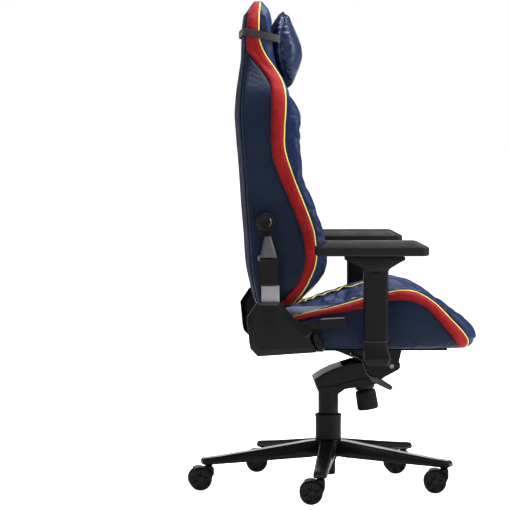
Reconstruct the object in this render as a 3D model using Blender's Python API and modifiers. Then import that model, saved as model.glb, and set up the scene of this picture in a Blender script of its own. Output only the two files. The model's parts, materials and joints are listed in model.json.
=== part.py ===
"""A five-star gaming chair with a reclining back, four-way armrests and a tilt mechanism.

Metres, +Z up. The chair faces +X and its right side is -Y. Sizes along X are measured from the
gas column's axis, which stands COLUMN_X ahead of the origin, so that the origin lies on the floor
under the middle of the whole chair.
"""

import math

import bmesh
import bpy
from mathutils import Matrix, Vector

# ---- driving dimensions ---------------------------------------------------------------------
COLUMN_X = 0.006  # column axis ahead of the origin
GAP = 0.0003  # clearance between pieces that touch
RUN = 0.0005  # clearance round a pin or shaft that turns

# casters
WHEEL_RADIUS = 0.030
WHEEL_WIDTH = 0.018
WHEEL_SIDE_GAP = 0.0015  # hood to wheel
HOOD_WIDTH = 0.014
CASTER_TRAIL = 0.024  # stem axis to axle
STEM_INSET = 0.020  # leg tip to stem axis
STEM_RADIUS = 0.0055
AXLE_RADIUS = 0.004
TRAIL_HEADINGS = (176.0, 183.0, 180.0, 186.0, 178.0)  # one for each leg, degrees

# gas column
CYLINDER_RADIUS = 0.0215
CYLINDER_END_RADIUS = 0.019
CYLINDER_BOTTOM, CYLINDER_TOP = 0.032, 0.188
PISTON_RADIUS = 0.010
PISTON_BOTTOM = 0.130
PISTON_GRIP = 0.030  # how far the piston goes up into the mechanism
COVER_WALL = 0.003
UPPER_COVER_RADIUS = CYLINDER_RADIUS + 0.0025 + COVER_WALL
LOWER_COVER_RADIUS = UPPER_COVER_RADIUS + 0.0045 + COVER_WALL
LOWER_COVER_TOP = 0.195
UPPER_COVER_BOTTOM = 0.160
COVER_TRAVEL = 0.060  # depth the upper cover needs under it

# five-star base
BASE_RADIUS = 0.350  # column axis to leg tip
BASE_TURN = -25.1  # heading of the first leg, degrees
LEG_TIP_BOTTOM = 2 * WHEEL_RADIUS + 0.007
LEG_TIP_TOP = LEG_TIP_BOTTOM + 0.020
LEG_WIDTH_HUB, LEG_WIDTH_TIP = 0.054, 0.038
HUB_RADIUS = LOWER_COVER_RADIUS + 0.0015
HUB_BOTTOM = LEG_TIP_BOTTOM + 0.011
HUB_TOP = HUB_BOTTOM + 0.050

# tilt mechanism
MECH_BOTTOM = 0.2555
MECH_HALF_WIDTH = 0.068
MECH_WALL = 0.008
TILT_X, TILT_Z = 0.165, 0.330  # tilt pin
TILT_PIN_RADIUS = 0.006
TOP_PLATE_THICK = 0.006
FLANGE_THICK = 0.005
KNOB_RADIUS, KNOB_LENGTH = 0.026, 0.050
LEVER_X, LEVER_Z, LEVER_RADIUS = 0.058, 0.366, 0.004  # height lever's turning axis
KNOB_X, KNOB_Z = 0.1035, 0.236  # middle of the tension knob
KNOB_LEAN = 9.0  # degrees, bottom forward

# seat
SEAT_HALF_WIDTH = 0.262  # widest half width of the seat and of the back
SEAT_BOTTOM = 0.388
BASE_COVER_THICK = 0.003
FRAME_THICK = 0.014
FRAME_BAR = 0.026
FRAME_HALF_WIDTH = SEAT_HALF_WIDTH - 0.067
FRAME_REAR, FRAME_FRONT = -0.150, 0.250
POCKET_EASE = 0.003  # foam clearance round a steel frame

# recliner, one on each side
RECLINE_X, RECLINE_Z = -0.159, 0.448
RECLINE_PIN_RADIUS = 0.006
PLATE_THICK = 0.005
SEAT_PLATE_Y = SEAT_HALF_WIDTH + 0.0025  # inner face of the seat-side plate
BRACKET_Y = SEAT_PLATE_Y + PLATE_THICK + 0.003  # inner face of the back bracket
TRIM_THICK = 0.012
SIDE_COVER_Y = BRACKET_Y + PLATE_THICK + 0.0025
SIDE_COVER_DEPTH, SIDE_COVER_WALL = 0.020, 0.003
COVER_SHORTER = 0.018  # how much further forward the rear edge of the cover without a lever is
RECLINE_LEVER_Y = SIDE_COVER_Y + 0.0035
RECLINE_LEVER_THICK = 0.005
RECLINE_PADDLE_THICK = 0.014

# back
REAR_PANEL_THICK = 0.0135
BACK_TUBE_RADIUS = 0.009
BACK_TUBE_INSET = 0.0265  # rear face to tube middle
POCKET_DEPTH = 0.0505  # rear face to the pocket's front wall
BACK_BOTTOM, BACK_HEIGHT = 0.496, 0.800
BACK_TOP = BACK_BOTTOM + BACK_HEIGHT
BACK_FRAME_LOW, BACK_FRAME_HIGH = BACK_BOTTOM + 0.064, BACK_TOP - 0.276
BACK_FRAME_HALF_WIDTH = SEAT_HALF_WIDTH - 0.092
BACK_WIRE_RADIUS = 0.004
BACK_WIRE_SPACING = 0.1  # most room between cross wires
CROSS_Z = 0.630  # tube that carries the brackets
LUMBAR_Z, LUMBAR_HEIGHT, LUMBAR_HALF_WIDTH = 0.700, 0.110, 0.110
LUMBAR_THICK = 0.003
LUMBAR_KNOB_RADIUS, LUMBAR_KNOB_DEPTH = 0.024, 0.040
LUMBAR_KNOB_X, LUMBAR_KNOB_Z = -0.180, 0.725

# head pillow
PILLOW_X, PILLOW_Z = -0.107, BACK_TOP - 0.124
PILLOW_SIZE = (0.086, 2 * (SEAT_HALF_WIDTH - 0.117), 0.195)
PILLOW_LEAN = -10.0  # degrees, top backward
STRAP_THICK, STRAP_HEIGHT = 0.002, 0.020
STRAP_Z, STRAP_LEAN = BACK_TOP - 0.087, -10.0
STRAP_EASE = 0.0040

# armrests
ARM_X, ARM_Y = 0.103, SEAT_HALF_WIDTH + 0.043  # middle of the sleeve
POST_LENGTH, POST_WIDTH = 0.036, 0.016
POST_EASE = 0.0015
SLEEVE_WALL = 0.008
SLEEVE_LENGTH, SLEEVE_WIDTH = 0.064, POST_WIDTH + 2 * (POST_EASE + SLEEVE_WALL)
COLLAR_WIDTH = POST_WIDTH + 0.020
POST_TOP = 0.585
SLEEVE_BOTTOM, SLEEVE_TOP, HEAD_TOP = 0.420, 0.605, 0.637
HEAD_X, HEAD_Y = 0.099, ARM_Y + 0.011
HEAD_LENGTH, HEAD_WIDTH = 0.154, 0.066
COLLAR_BOTTOM, COLLAR_TOP = 0.354, 0.416
ARM_FOOT_THICK = 0.006
ARM_FOOT_INNER = 0.125
SLIDER_LENGTH, SLIDER_WIDTH, SLIDER_THICK = 0.070, 0.050, 0.0065
TURNTABLE_RADIUS, TURNTABLE_THICK = 0.024, 0.0065
PAD_LENGTH, PAD_WIDTH, PAD_THICK = 0.290, 0.100, 0.038
PAD_X, PAD_Y, PAD_BOTTOM = 0.091, ARM_Y + 0.015, HEAD_TOP + 0.003
PAD_TRAVEL_BACK, PAD_TRAVEL_FRONT = 0.036, 0.030  # pocket past the slider's corners
PAD_ACROSS = 0.038  # half width of the pocket
LEFT_PAD_BACK = 0.011  # the left pad stands this much further back
BUTTON_X, BUTTON_Z = 0.0985, 0.5885
BUTTON_SIZE = (0.028, 0.0062, 0.015)
BUTTON_PROUD = 0.002

SIDES = (("right", -1), ("left", 1))

# ---- scene, frames of reference and finishes ------------------------------------------------
for old in list(bpy.data.objects):
    bpy.data.objects.remove(old, do_unlink=True)

CHAIR = bpy.data.collections.new("gaming_chair")
CUTTERS = bpy.data.collections.new("cutters")
bpy.context.scene.collection.children.link(CHAIR)
bpy.context.scene.collection.children.link(CUTTERS)

FINISHES = {}
PIVOT_AT = {}


def finish(name, rgb, roughness, metallic=0.0):
    """One Principled BSDF material, kept by name."""
    material = bpy.data.materials.new(name)
    material.use_nodes = True
    shader = material.node_tree.nodes["Principled BSDF"]
    shader.inputs["Base Color"].default_value = (*rgb, 1.0)
    shader.inputs["Roughness"].default_value = roughness
    shader.inputs["Metallic"].default_value = metallic
    material.diffuse_color = (*rgb, 1.0)
    FINISHES[name] = material


def pivot(name, at, parent=None, turn=0.0):
    """An empty on a joint's axis; pieces placed on it keep their own chair coordinates."""
    empty = bpy.data.objects.new(name, None)
    empty.empty_display_size = 0.03
    CHAIR.objects.link(empty)
    frame = Matrix.Translation(at) @ Matrix.Rotation(turn, 4, "Z")
    PIVOT_AT[name] = frame
    empty.matrix_basis = frame
    if parent is not None:
        hold(empty, parent)
    return name


def hold(piece, parent):
    """Parents a piece to a pivot without moving it in chair coordinates."""
    piece.parent = bpy.data.objects[parent]
    piece.matrix_parent_inverse = PIVOT_AT[parent].inverted()


def add(name, mesh, parent, material, basis=None):
    """Links a finished mesh as one piece, or as a cutter when parent is None."""
    piece = bpy.data.objects.new(name, mesh)
    if basis is not None:
        piece.matrix_basis = basis
    if parent is None:
        CUTTERS.objects.link(piece)
        piece.hide_render = True
        piece.display_type = "WIRE"
        hold(piece, "chair")
        return piece
    CHAIR.objects.link(piece)
    mesh.materials.clear()
    mesh.materials.append(FINISHES[material].copy())
    mesh.materials[0].name = name
    hold(piece, parent)
    return piece


def mesh_of(name, work):
    """A mesh from a bmesh, which is freed."""
    mesh = bpy.data.meshes.new(name)
    work.to_mesh(mesh)
    work.free()
    return mesh


def smooth(mesh, degrees=35.0):
    """Smooth shading, with sharp edges kept."""
    mesh.shade_smooth()
    mesh.set_sharp_from_angle(angle=math.radians(degrees))


def bevel(piece, width, segments=1, limit=40.0):
    """A bevel on every edge sharper than the limit."""
    edge = piece.modifiers.new("bevel", "BEVEL")
    edge.width = width
    edge.segments = segments
    edge.limit_method = "ANGLE"
    edge.angle_limit = math.radians(limit)
    return piece


def combine(piece, tool, operation):
    """A Boolean with the exact solver; the tool must be a cutter."""
    step = piece.modifiers.new(operation.lower(), "BOOLEAN")
    step.operation = operation
    step.solver = "EXACT"
    step.object = tool
    return piece


# ---- shapes ---------------------------------------------------------------------------------
def box(name, parent, material, low, high):
    """A box between two corners, with its origin at its middle."""
    low, high = Vector(low), Vector(high)
    work = bmesh.new()
    bmesh.ops.create_cube(work, size=1.0, matrix=Matrix.Diagonal((*(high - low), 1.0)))
    return add(name, mesh_of(name, work), parent, material, Matrix.Translation((low + high) / 2))


def mirrored_box(name, parent, material, side, low, high):
    """A box whose Y is given as a distance from the middle plane, on the named side."""
    ends = sorted((side * low[1], side * high[1]))
    return box(name, parent, material, (low[0], ends[0], low[2]), (high[0], ends[1], high[2]))


def rod(name, parent, material, start, end, radius, sides=16, end_radius=None):
    """A cylinder or cone between two points."""
    start, end = Vector(start), Vector(end)
    work = bmesh.new()
    bmesh.ops.create_cone(
        work, cap_ends=True, cap_tris=False, segments=sides,
        radius1=radius, radius2=radius if end_radius is None else end_radius,
        depth=(end - start).length,
    )
    mesh = mesh_of(name, work)
    smooth(mesh)
    turn = Vector((0, 0, 1)).rotation_difference(end - start).to_matrix().to_4x4()
    return add(name, mesh, parent, material, Matrix.Translation((start + end) / 2) @ turn)


def turned(name, parent, material, profile, sides, basis, closed=True):
    """A profile of (radius, height) turned about its own Z; it runs down its outer side."""
    mesh = bpy.data.meshes.new(name)
    count = len(profile)
    edges = [(i, (i + 1) % count) for i in range(count if closed else count - 1)]
    mesh.from_pydata([(r, 0, z) for r, z in profile], edges, [])
    piece = add(name, mesh, parent, material, basis)
    screw = piece.modifiers.new("turn", "SCREW")
    screw.angle = math.tau
    screw.steps = screw.render_steps = sides
    screw.use_merge_vertices = True
    screw.merge_threshold = 0.00001
    return piece


def flat_mesh(name, outlines, thick):
    """A closed plate from flat outlines (the first outer, the rest holes), faces welded."""
    curve = bpy.data.curves.new(name, "CURVE")
    curve.dimensions = "2D"
    curve.fill_mode = "BOTH"
    curve.extrude = thick / 2
    for outline in outlines:
        spline = curve.splines.new("POLY")
        spline.points.add(len(outline) - 1)
        for point, (u, v) in zip(spline.points, outline):
            point.co = (u, v, 0, 1)
        spline.use_cyclic_u = True
    return welded(name, curve)


def welded(name, curve):
    """The mesh of a curve, with its loose caps joined, and the curve removed."""
    guide = bpy.data.objects.new(name, curve)
    CUTTERS.objects.link(guide)
    graph = bpy.context.evaluated_depsgraph_get()
    mesh = bpy.data.meshes.new_from_object(guide.evaluated_get(graph))
    bpy.data.objects.remove(guide)
    work = bmesh.new()
    work.from_mesh(mesh)
    bmesh.ops.remove_doubles(work, verts=work.verts, dist=0.00001)
    bmesh.ops.recalc_face_normals(work, faces=work.faces)
    work.to_mesh(mesh)
    work.free()
    return mesh


SIDE_ON = Matrix.Rotation(math.pi / 2, 4, "X")  # outline (x, z), thickness along Y
FACE_ON = Matrix.Rotation(math.pi / 2, 4, "Z") @ SIDE_ON  # outline (y, z), thickness along X


def side_plate(name, parent, material, outlines, y, thick):
    """A plate in the XZ plane whose middle lies at y."""
    basis = Matrix.Translation((0, y, 0)) @ SIDE_ON
    return add(name, flat_mesh(name, outlines, thick), parent, material, basis)


def floor_plate(name, parent, material, outlines, z, thick):
    """A plate in the XY plane whose middle lies at z."""
    return add(name, flat_mesh(name, outlines, thick), parent, material, Matrix.Translation((0, 0, z)))


def tube(name, parent, material, points, radius, resolution=2, closed=False):
    """A round bar along points, as a closed mesh."""
    curve = bpy.data.curves.new(name, "CURVE")
    curve.dimensions = "3D"
    curve.bevel_depth = radius
    curve.bevel_resolution = resolution
    curve.use_fill_caps = True
    spline = curve.splines.new("POLY")
    spline.points.add(len(points) - 1)
    for point, place in zip(spline.points, points):
        point.co = (*place, 1)
    spline.use_cyclic_u = closed
    mesh = welded(name, curve)
    smooth(mesh)
    return add(name, mesh, parent, material)


def loft(name, parent, material, rings):
    """A closed skin through rings of equal point count, capped at both ends."""
    work = bmesh.new()
    rows = [[work.verts.new(point) for point in ring] for ring in rings]
    count = len(rows[0])
    for low, high in zip(rows, rows[1:]):
        for i in range(count):
            j = (i + 1) % count
            work.faces.new((low[i], low[j], high[j], high[i]))
    work.faces.new(rows[0])
    work.faces.new(rows[-1])
    bmesh.ops.recalc_face_normals(work, faces=work.faces)
    mesh = mesh_of(name, work)
    smooth(mesh, 50.0)
    return add(name, mesh, parent, material)


def between(table, at):
    """The columns of a table at one value of its first column, by straight interpolation."""
    for low, high in zip(table, table[1:]):
        if at <= high[0]:
            share = max(0.0, (at - low[0]) / (high[0] - low[0]))
            return [a + share * (b - a) for a, b in zip(low[1:], high[1:])]
    return list(table[-1][1:])


# ---- five-star base and gas column ----------------------------------------------------------
def leg_ring(reach, width, low, high, heading):
    """Six corners of a leg's section, its top narrower than its foot."""
    across = ((-0.5, low), (0.5, low), (0.5, high - 0.35 * (high - low)),
              (0.22, high), (-0.22, high), (-0.5, high - 0.35 * (high - low)))
    turn = Matrix.Rotation(heading, 3, "Z")
    return [turn @ Vector((reach, width * share, z)) for share, z in across]


def leg_headings():
    """The five legs' headings, evenly spaced."""
    return [math.radians(BASE_TURN + 72.0 * i) for i in range(5)]


def stem_place(heading):
    """Where a caster's stem axis meets the floor."""
    reach = BASE_RADIUS - STEM_INSET
    return Vector((reach * math.cos(heading), reach * math.sin(heading), 0))


def star_base():
    """Hub with a counterbore for the covers and a bore for the cylinder, and five tapered legs."""
    seat_radius = UPPER_COVER_RADIUS + 0.0025
    seat_floor = UPPER_COVER_BOTTOM - COVER_TRAVEL
    profile = [(CYLINDER_RADIUS + GAP, HUB_BOTTOM), (CYLINDER_RADIUS + GAP, seat_floor),
               (seat_radius, seat_floor), (seat_radius, HUB_TOP), (HUB_RADIUS, HUB_TOP),
               (HUB_RADIUS, HUB_BOTTOM + 0.006), (HUB_RADIUS - 0.008, HUB_BOTTOM)]
    base = turned("star_base", "chair", "leg_metal", profile, 32, Matrix.Identity(4))
    for i, heading in enumerate(leg_headings()):
        rings = [leg_ring(*row, heading) for row in (
            (HUB_RADIUS - 0.005, LEG_WIDTH_HUB * 0.72, HUB_BOTTOM + 0.004, HUB_TOP - 0.003),
            (HUB_RADIUS + 0.050, LEG_WIDTH_HUB * 0.86, HUB_BOTTOM, HUB_TOP - 0.009),
            (BASE_RADIUS - 0.030, LEG_WIDTH_TIP, LEG_TIP_BOTTOM, LEG_TIP_TOP),
            (BASE_RADIUS, LEG_WIDTH_TIP * 0.5, LEG_TIP_BOTTOM + 0.003, LEG_TIP_TOP - 0.003))]
        combine(base, loft(f"leg_form_{i}", None, None, rings), "UNION")
        stem = stem_place(heading)
        hole = rod(f"stem_hole_{i}", None, None, stem, stem + Vector((0, 0, LEG_TIP_TOP - 0.004)),
                   STEM_RADIUS + RUN, 16)
        combine(base, hole, "DIFFERENCE")
    return base


def gas_column():
    """Cylinder, piston and the two telescoping covers."""
    step = HUB_BOTTOM - 0.006
    bore = PISTON_RADIUS + RUN
    profile = [(bore, CYLINDER_BOTTOM + 0.010), (bore, CYLINDER_TOP), (CYLINDER_RADIUS, CYLINDER_TOP),
               (CYLINDER_RADIUS, step), (CYLINDER_END_RADIUS, step - 0.002),
               (CYLINDER_END_RADIUS, CYLINDER_BOTTOM + 0.002),
               (CYLINDER_END_RADIUS - 0.002, CYLINDER_BOTTOM), (0, CYLINDER_BOTTOM),
               (0, CYLINDER_BOTTOM + 0.010)]
    turned("gas_cylinder", "chair", "black_metal", profile, 24, Matrix.Identity(4))
    sleeve_cover("lower_dust_cover", "chair", LOWER_COVER_RADIUS, HUB_TOP + GAP, LOWER_COVER_TOP)
    sleeve_cover("upper_dust_cover", "lift", UPPER_COVER_RADIUS, UPPER_COVER_BOTTOM, MECH_BOTTOM - GAP)
    rod("gas_piston", "lift", "steel", (0, 0, PISTON_BOTTOM), (0, 0, MECH_BOTTOM + PISTON_GRIP),
        PISTON_RADIUS, 20)


def sleeve_cover(name, parent, radius, low, high):
    """A round sleeve round the column."""
    inner = radius - COVER_WALL
    profile = [(inner, low), (inner, high), (radius, high), (radius, low)]
    turned(name, parent, "black_plastic", profile, 28, Matrix.Identity(4))


def caster(index, heading):
    """A hood with stem and axle, and a wheel on each side of it."""
    stem = stem_place(heading)
    trail = math.radians(TRAIL_HEADINGS[index])
    place = Matrix.Translation(stem) @ Matrix.Rotation(trail, 4, "Z")
    name = f"caster_{index + 1}"
    swivel = pivot(f"{name}_swivel", stem, "chair", trail)
    axle = place @ Vector((CASTER_TRAIL, 0, WHEEL_RADIUS))
    rolling = pivot(f"{name}_axle", axle, swivel, trail)
    reach = WHEEL_RADIUS - 0.003
    arc = [(CASTER_TRAIL + reach * math.cos(a), WHEEL_RADIUS + reach * math.sin(a))
           for a in (math.radians(d) for d in range(-40, 81, 20))]
    shoulder = LEG_TIP_BOTTOM - 0.004
    outline = [(CASTER_TRAIL - 0.012, WHEEL_RADIUS - 0.008), *arc, (0.012, shoulder), (-0.012, shoulder),
               (-0.010, shoulder - 0.017)]
    form = flat_mesh(name, [outline], HOOD_WIDTH)
    hood = add(f"{name}_hood", form, swivel, "black_plastic", place @ SIDE_ON)
    foot, top = (Vector((stem.x, stem.y, z)) for z in (shoulder - 0.013, LEG_TIP_TOP - 0.006))
    combine(hood, rod(f"{name}_stem_form", None, None, foot, top, STEM_RADIUS, 12), "UNION")
    half = HOOD_WIDTH / 2 + WHEEL_SIDE_GAP + WHEEL_WIDTH
    ends = [place @ Vector((CASTER_TRAIL, s * half, WHEEL_RADIUS)) for s in (-1, 1)]
    combine(hood, rod(f"{name}_axle_form", None, None, *ends, AXLE_RADIUS, 10), "UNION")
    bore = AXLE_RADIUS + RUN
    edge, rim = WHEEL_WIDTH / 2, WHEEL_RADIUS - 0.0025
    profile = [(bore, -edge), (bore, edge), (rim, edge), (WHEEL_RADIUS, edge - 0.0025),
               (WHEEL_RADIUS, 0.0025 - edge), (rim, -edge)]
    for letter, side in (("a", -1), ("b", 1)):
        y = side * (HOOD_WIDTH / 2 + WHEEL_SIDE_GAP + edge)
        basis = place @ Matrix.Translation((CASTER_TRAIL, y, WHEEL_RADIUS))
        basis = basis @ Matrix.Rotation(-side * math.pi / 2, 4, "X")
        turned(f"{name}_wheel_{letter}", rolling, "wheel_plastic", profile, 20, basis)


# ---- tilt mechanism -------------------------------------------------------------------------
def top_plate_z():
    """Underside and top of the mechanism's top plate, hung from the seat base cover."""
    top = SEAT_BOTTOM - BASE_COVER_THICK - 2 * GAP
    return top - TOP_PLATE_THICK, top


def mechanism():
    """Pan-shaped housing on the piston, flanged plate under the seat, the pin that joins them."""
    outline = [(-0.042, 0.293), (-0.028, MECH_BOTTOM), (0.023, MECH_BOTTOM), (0.041, 0.268), (0.120, 0.280),
               (0.147, 0.300), (0.188, 0.322), (0.188, 0.340), (0.160, 0.346), (0.062, 0.339),
               (0.009, 0.322), (-0.020, 0.308)]
    housing = side_plate("mech_housing", "swivel", "black_metal", [outline], 0, 2 * MECH_HALF_WIDTH)
    bevel(housing, 0.003)
    inner = MECH_HALF_WIDTH - MECH_WALL
    well = [(0.034, 0.284), (0.118, 0.293), (0.146, 0.313), (0.146, 0.360), (0.034, 0.360)]
    combine(housing, side_plate("mech_well", None, None, [well], 0, 2 * inner), "DIFFERENCE")
    socket_top = Vector((0, 0, MECH_BOTTOM + PISTON_GRIP + 0.002))
    socket = rod("piston_socket", None, None, (0, 0, 0.20), socket_top, PISTON_RADIUS + GAP, 20)
    combine(housing, socket, "DIFFERENCE")
    flange_y = MECH_HALF_WIDTH + 0.0015
    pin_end = flange_y + FLANGE_THICK + 0.004
    pin_hole = rod("tilt_pin_hole", None, None, (TILT_X, -0.1, TILT_Z), (TILT_X, 0.1, TILT_Z),
                   TILT_PIN_RADIUS + RUN, 16)
    combine(housing, pin_hole, "DIFFERENCE")
    rod("tilt_pivot_pin", "tilt", "steel", (TILT_X, -pin_end, TILT_Z), (TILT_X, pin_end, TILT_Z),
        TILT_PIN_RADIUS, 16)
    low, top = top_plate_z()
    plate = box("mech_top_plate", "tilt", "black_metal", (-0.090, -0.112, low), (0.205, 0.112, top))
    bevel(plate, 0.001)
    cheek = [(-0.010, low + 0.003), (0.030, low - 0.012), (TILT_X - 0.020, TILT_Z - 0.012),
             (TILT_X + 0.014, TILT_Z - 0.012), (TILT_X + 0.028, low + 0.003)]
    for side_name, side in SIDES:
        y = side * (flange_y + FLANGE_THICK / 2)
        combine(plate, side_plate(f"cheek_{side_name}", None, None, [cheek], y, FLANGE_THICK), "UNION")
    combine(plate, pin_hole, "DIFFERENCE")
    lever_hole = rod("lever_hole", None, None, (LEVER_X, -0.09, LEVER_Z), (LEVER_X, -0.05, LEVER_Z),
                     LEVER_RADIUS + RUN, 12)
    combine(plate, lever_hole, "DIFFERENCE")


def height_lever():
    """A bent rod from the plate's flange, ending in a flat paddle."""
    inner = -(MECH_HALF_WIDTH + 0.0010)
    points = [(LEVER_X, inner, LEVER_Z), (LEVER_X, -0.150, LEVER_Z), (0.070, -0.195, 0.366),
              (0.077, -0.206, 0.360), (0.088, -0.214, 0.326), (0.100, -0.220, 0.314)]
    lever = tube("height_lever", "height_lever_pivot", "black_metal", points, LEVER_RADIUS, 2)
    paddle = [(0.092, 0.322), (0.098, 0.306), (0.146, 0.283), (0.154, 0.287), (0.152, 0.294),
              (0.112, 0.318)]
    grip = side_plate("paddle_form", None, None, [paddle], -0.2235, 0.030)
    combine(lever, bevel(grip, 0.002), "UNION")


def tension_knob():
    """The tilt tension knob under the housing's nose."""
    lean = Matrix.Translation((KNOB_X, 0, KNOB_Z)) @ Matrix.Rotation(-math.radians(KNOB_LEAN), 4, "Y")
    half = KNOB_LENGTH / 2
    profile = [(0, half), (KNOB_RADIUS * 0.72, half), (KNOB_RADIUS, half - 0.006),
               (KNOB_RADIUS, 0.004 - half), (KNOB_RADIUS - 0.004, -half), (0, -half)]
    knob = turned("tension_knob", "tension_knob_pivot", "black_plastic", profile, 24, lean, closed=False)
    knob.data.shade_smooth()

# ---- seat -----------------------------------------------------------------------------------
SEAT_STATIONS = (  # x, bolster crown z, well z, inset of the side, underside above the seat's
    (-0.188, 0.466, 0.462, 0.037, 0.004),
    (-0.170, 0.472, 0.468, 0.016, 0.000),
    (-0.060, 0.490, 0.471, 0.006, 0.000),
    (-0.017, 0.506, 0.474, 0.003, 0.000),
    (0.050, 0.528, 0.478, 0.000, 0.000),
    (0.120, 0.550, 0.484, 0.000, 0.000),
    (0.185, 0.560, 0.490, 0.000, 0.000),
    (0.240, 0.546, 0.491, 0.003, 0.000),
    (0.290, 0.515, 0.488, 0.010, 0.000),
    (0.327, 0.484, 0.478, 0.018, 0.000),
    (0.355, 0.462, 0.460, 0.036, 0.004),
    (0.367, 0.440, 0.439, 0.057, 0.024),
)


def seat_ring(x, crown, well, inset, raised):
    """One closed section across the seat: flat underside, bolsters at the sides, well between."""
    half, low = SEAT_HALF_WIDTH - inset, SEAT_BOTTOM + raised
    half_ring = [(0.0, low), (half - 0.022, low), (half - 0.004, low + 0.024), (half, (low + crown) / 2),
                 (half - 0.004, crown - 0.018), (half - 0.022, crown), (half - 0.046, crown - 0.002),
                 (half - 0.078, well + 0.35 * (crown - well)), (half - 0.105, well), (0.0, well)]
    other = [(-y, z) for y, z in reversed(half_ring[1:-1])]
    return [(x, y, z) for y, z in half_ring + other]


def frame_outline(grow):
    """The seat frame's outer edge with a tab to each recliner plate, grown by a clearance."""
    wide = SEAT_PLATE_Y - GAP
    half, rear, front = FRAME_HALF_WIDTH + grow, FRAME_REAR - grow, FRAME_FRONT + grow
    tab_front = FRAME_REAR + 0.060 + grow
    return [(rear, -wide), (tab_front, -wide), (tab_front, -half), (front, -half), (front, half),
            (tab_front, half), (tab_front, wide), (rear, wide)]


def seat():
    """Padded bucket cushion with a pocket underneath for its steel frame, and the cover below."""
    cushion = loft("seat_cushion", "tilt", "side_leather", [seat_ring(*row) for row in SEAT_STATIONS])
    pocket_top = SEAT_BOTTOM + FRAME_THICK + 2 * POCKET_EASE
    pocket = floor_plate("seat_pocket", None, None, [frame_outline(POCKET_EASE)],
                         (pocket_top + SEAT_BOTTOM - 0.010) / 2, pocket_top - SEAT_BOTTOM + 0.010)
    combine(cushion, pocket, "DIFFERENCE")
    across = (2 * FRAME_HALF_WIDTH - 5 * FRAME_BAR) / 4
    along = (FRAME_FRONT - FRAME_REAR - 4 * FRAME_BAR) / 3
    windows = []
    for row in range(3):
        x = FRAME_REAR + FRAME_BAR + row * (along + FRAME_BAR)
        for column in range(4):
            y = -FRAME_HALF_WIDTH + FRAME_BAR + column * (across + FRAME_BAR)
            windows.append([(x, y), (x + along, y), (x + along, y + across), (x, y + across)])
    floor_plate("seat_frame", "tilt", "steel", [frame_outline(0.0), *windows],
                SEAT_BOTTOM + GAP + FRAME_THICK / 2, FRAME_THICK)
    half = SEAT_HALF_WIDTH - 0.050
    cover = box("seat_base_cover", "tilt", "black_fabric",
                (-0.178, -half, SEAT_BOTTOM - GAP - BASE_COVER_THICK), (0.300, half, SEAT_BOTTOM - GAP))
    bevel(cover, 0.001)


# ---- recliner hardware ----------------------------------------------------------------------
def around_recliner(radius, start, end, step):
    """Points on an arc about the recline axis, in degrees from straight ahead, upwards."""
    return [(RECLINE_X + radius * math.cos(math.radians(a)), RECLINE_Z + radius * math.sin(math.radians(a)))
            for a in range(start, end + 1, step)]


def recliner(side_name, side):
    """Seat-side plate, back bracket with its grey trim, pin and moulded cover of one side."""
    pin_ends = [(RECLINE_X, side * y, RECLINE_Z) for y in (SEAT_PLATE_Y - 0.001, SIDE_COVER_Y + 0.0155)]
    hole_ends = [(RECLINE_X, side * y, RECLINE_Z) for y in (SEAT_PLATE_Y - 0.020, SIDE_COVER_Y + 0.016)]
    hole = rod(f"recline_hole_{side_name}", None, None, *hole_ends, RECLINE_PIN_RADIUS + RUN, 16)
    rod(f"recliner_pin_{side_name}", "tilt", "steel", *pin_ends, RECLINE_PIN_RADIUS, 16)
    plate_line = [(-0.196, 0.396), (-0.060, 0.396), (-0.060, 0.420), (-0.120, 0.470),
                  *around_recliner(0.030, 60, 150, 30), (-0.196, 0.440)]
    plate = side_plate(f"recliner_plate_{side_name}", "tilt", "steel", [plate_line],
                       side * (SEAT_PLATE_Y + PLATE_THICK / 2), PLATE_THICK)
    combine(plate, hole, "DIFFERENCE")
    bracket_line = [*around_recliner(0.030, -150, 15, 33), (-0.146, 0.516), (-0.146, 0.620),
                    (-0.158, 0.672), (-0.190, 0.672), (-0.196, 0.620), (-0.190, 0.514)]
    bracket = side_plate(f"back_bracket_{side_name}", "recline", "bright_metal", [bracket_line],
                         side * (BRACKET_Y + PLATE_THICK / 2), PLATE_THICK)
    combine(bracket, hole, "DIFFERENCE")
    trim_line = [(-0.193, 0.560), (-0.149, 0.561), (-0.150, 0.631), (-0.167, 0.689), (-0.182, 0.689),
                 (-0.195, 0.632)]
    trim_y = side * (BRACKET_Y + PLATE_THICK + 0.001 + TRIM_THICK / 2)
    trim = side_plate(f"upright_trim_{side_name}", "recline", "grey_plastic", [trim_line], trim_y, TRIM_THICK)
    bevel(trim, 0.003)
    side_cover(side_name, side, notch=side < 0)


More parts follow.
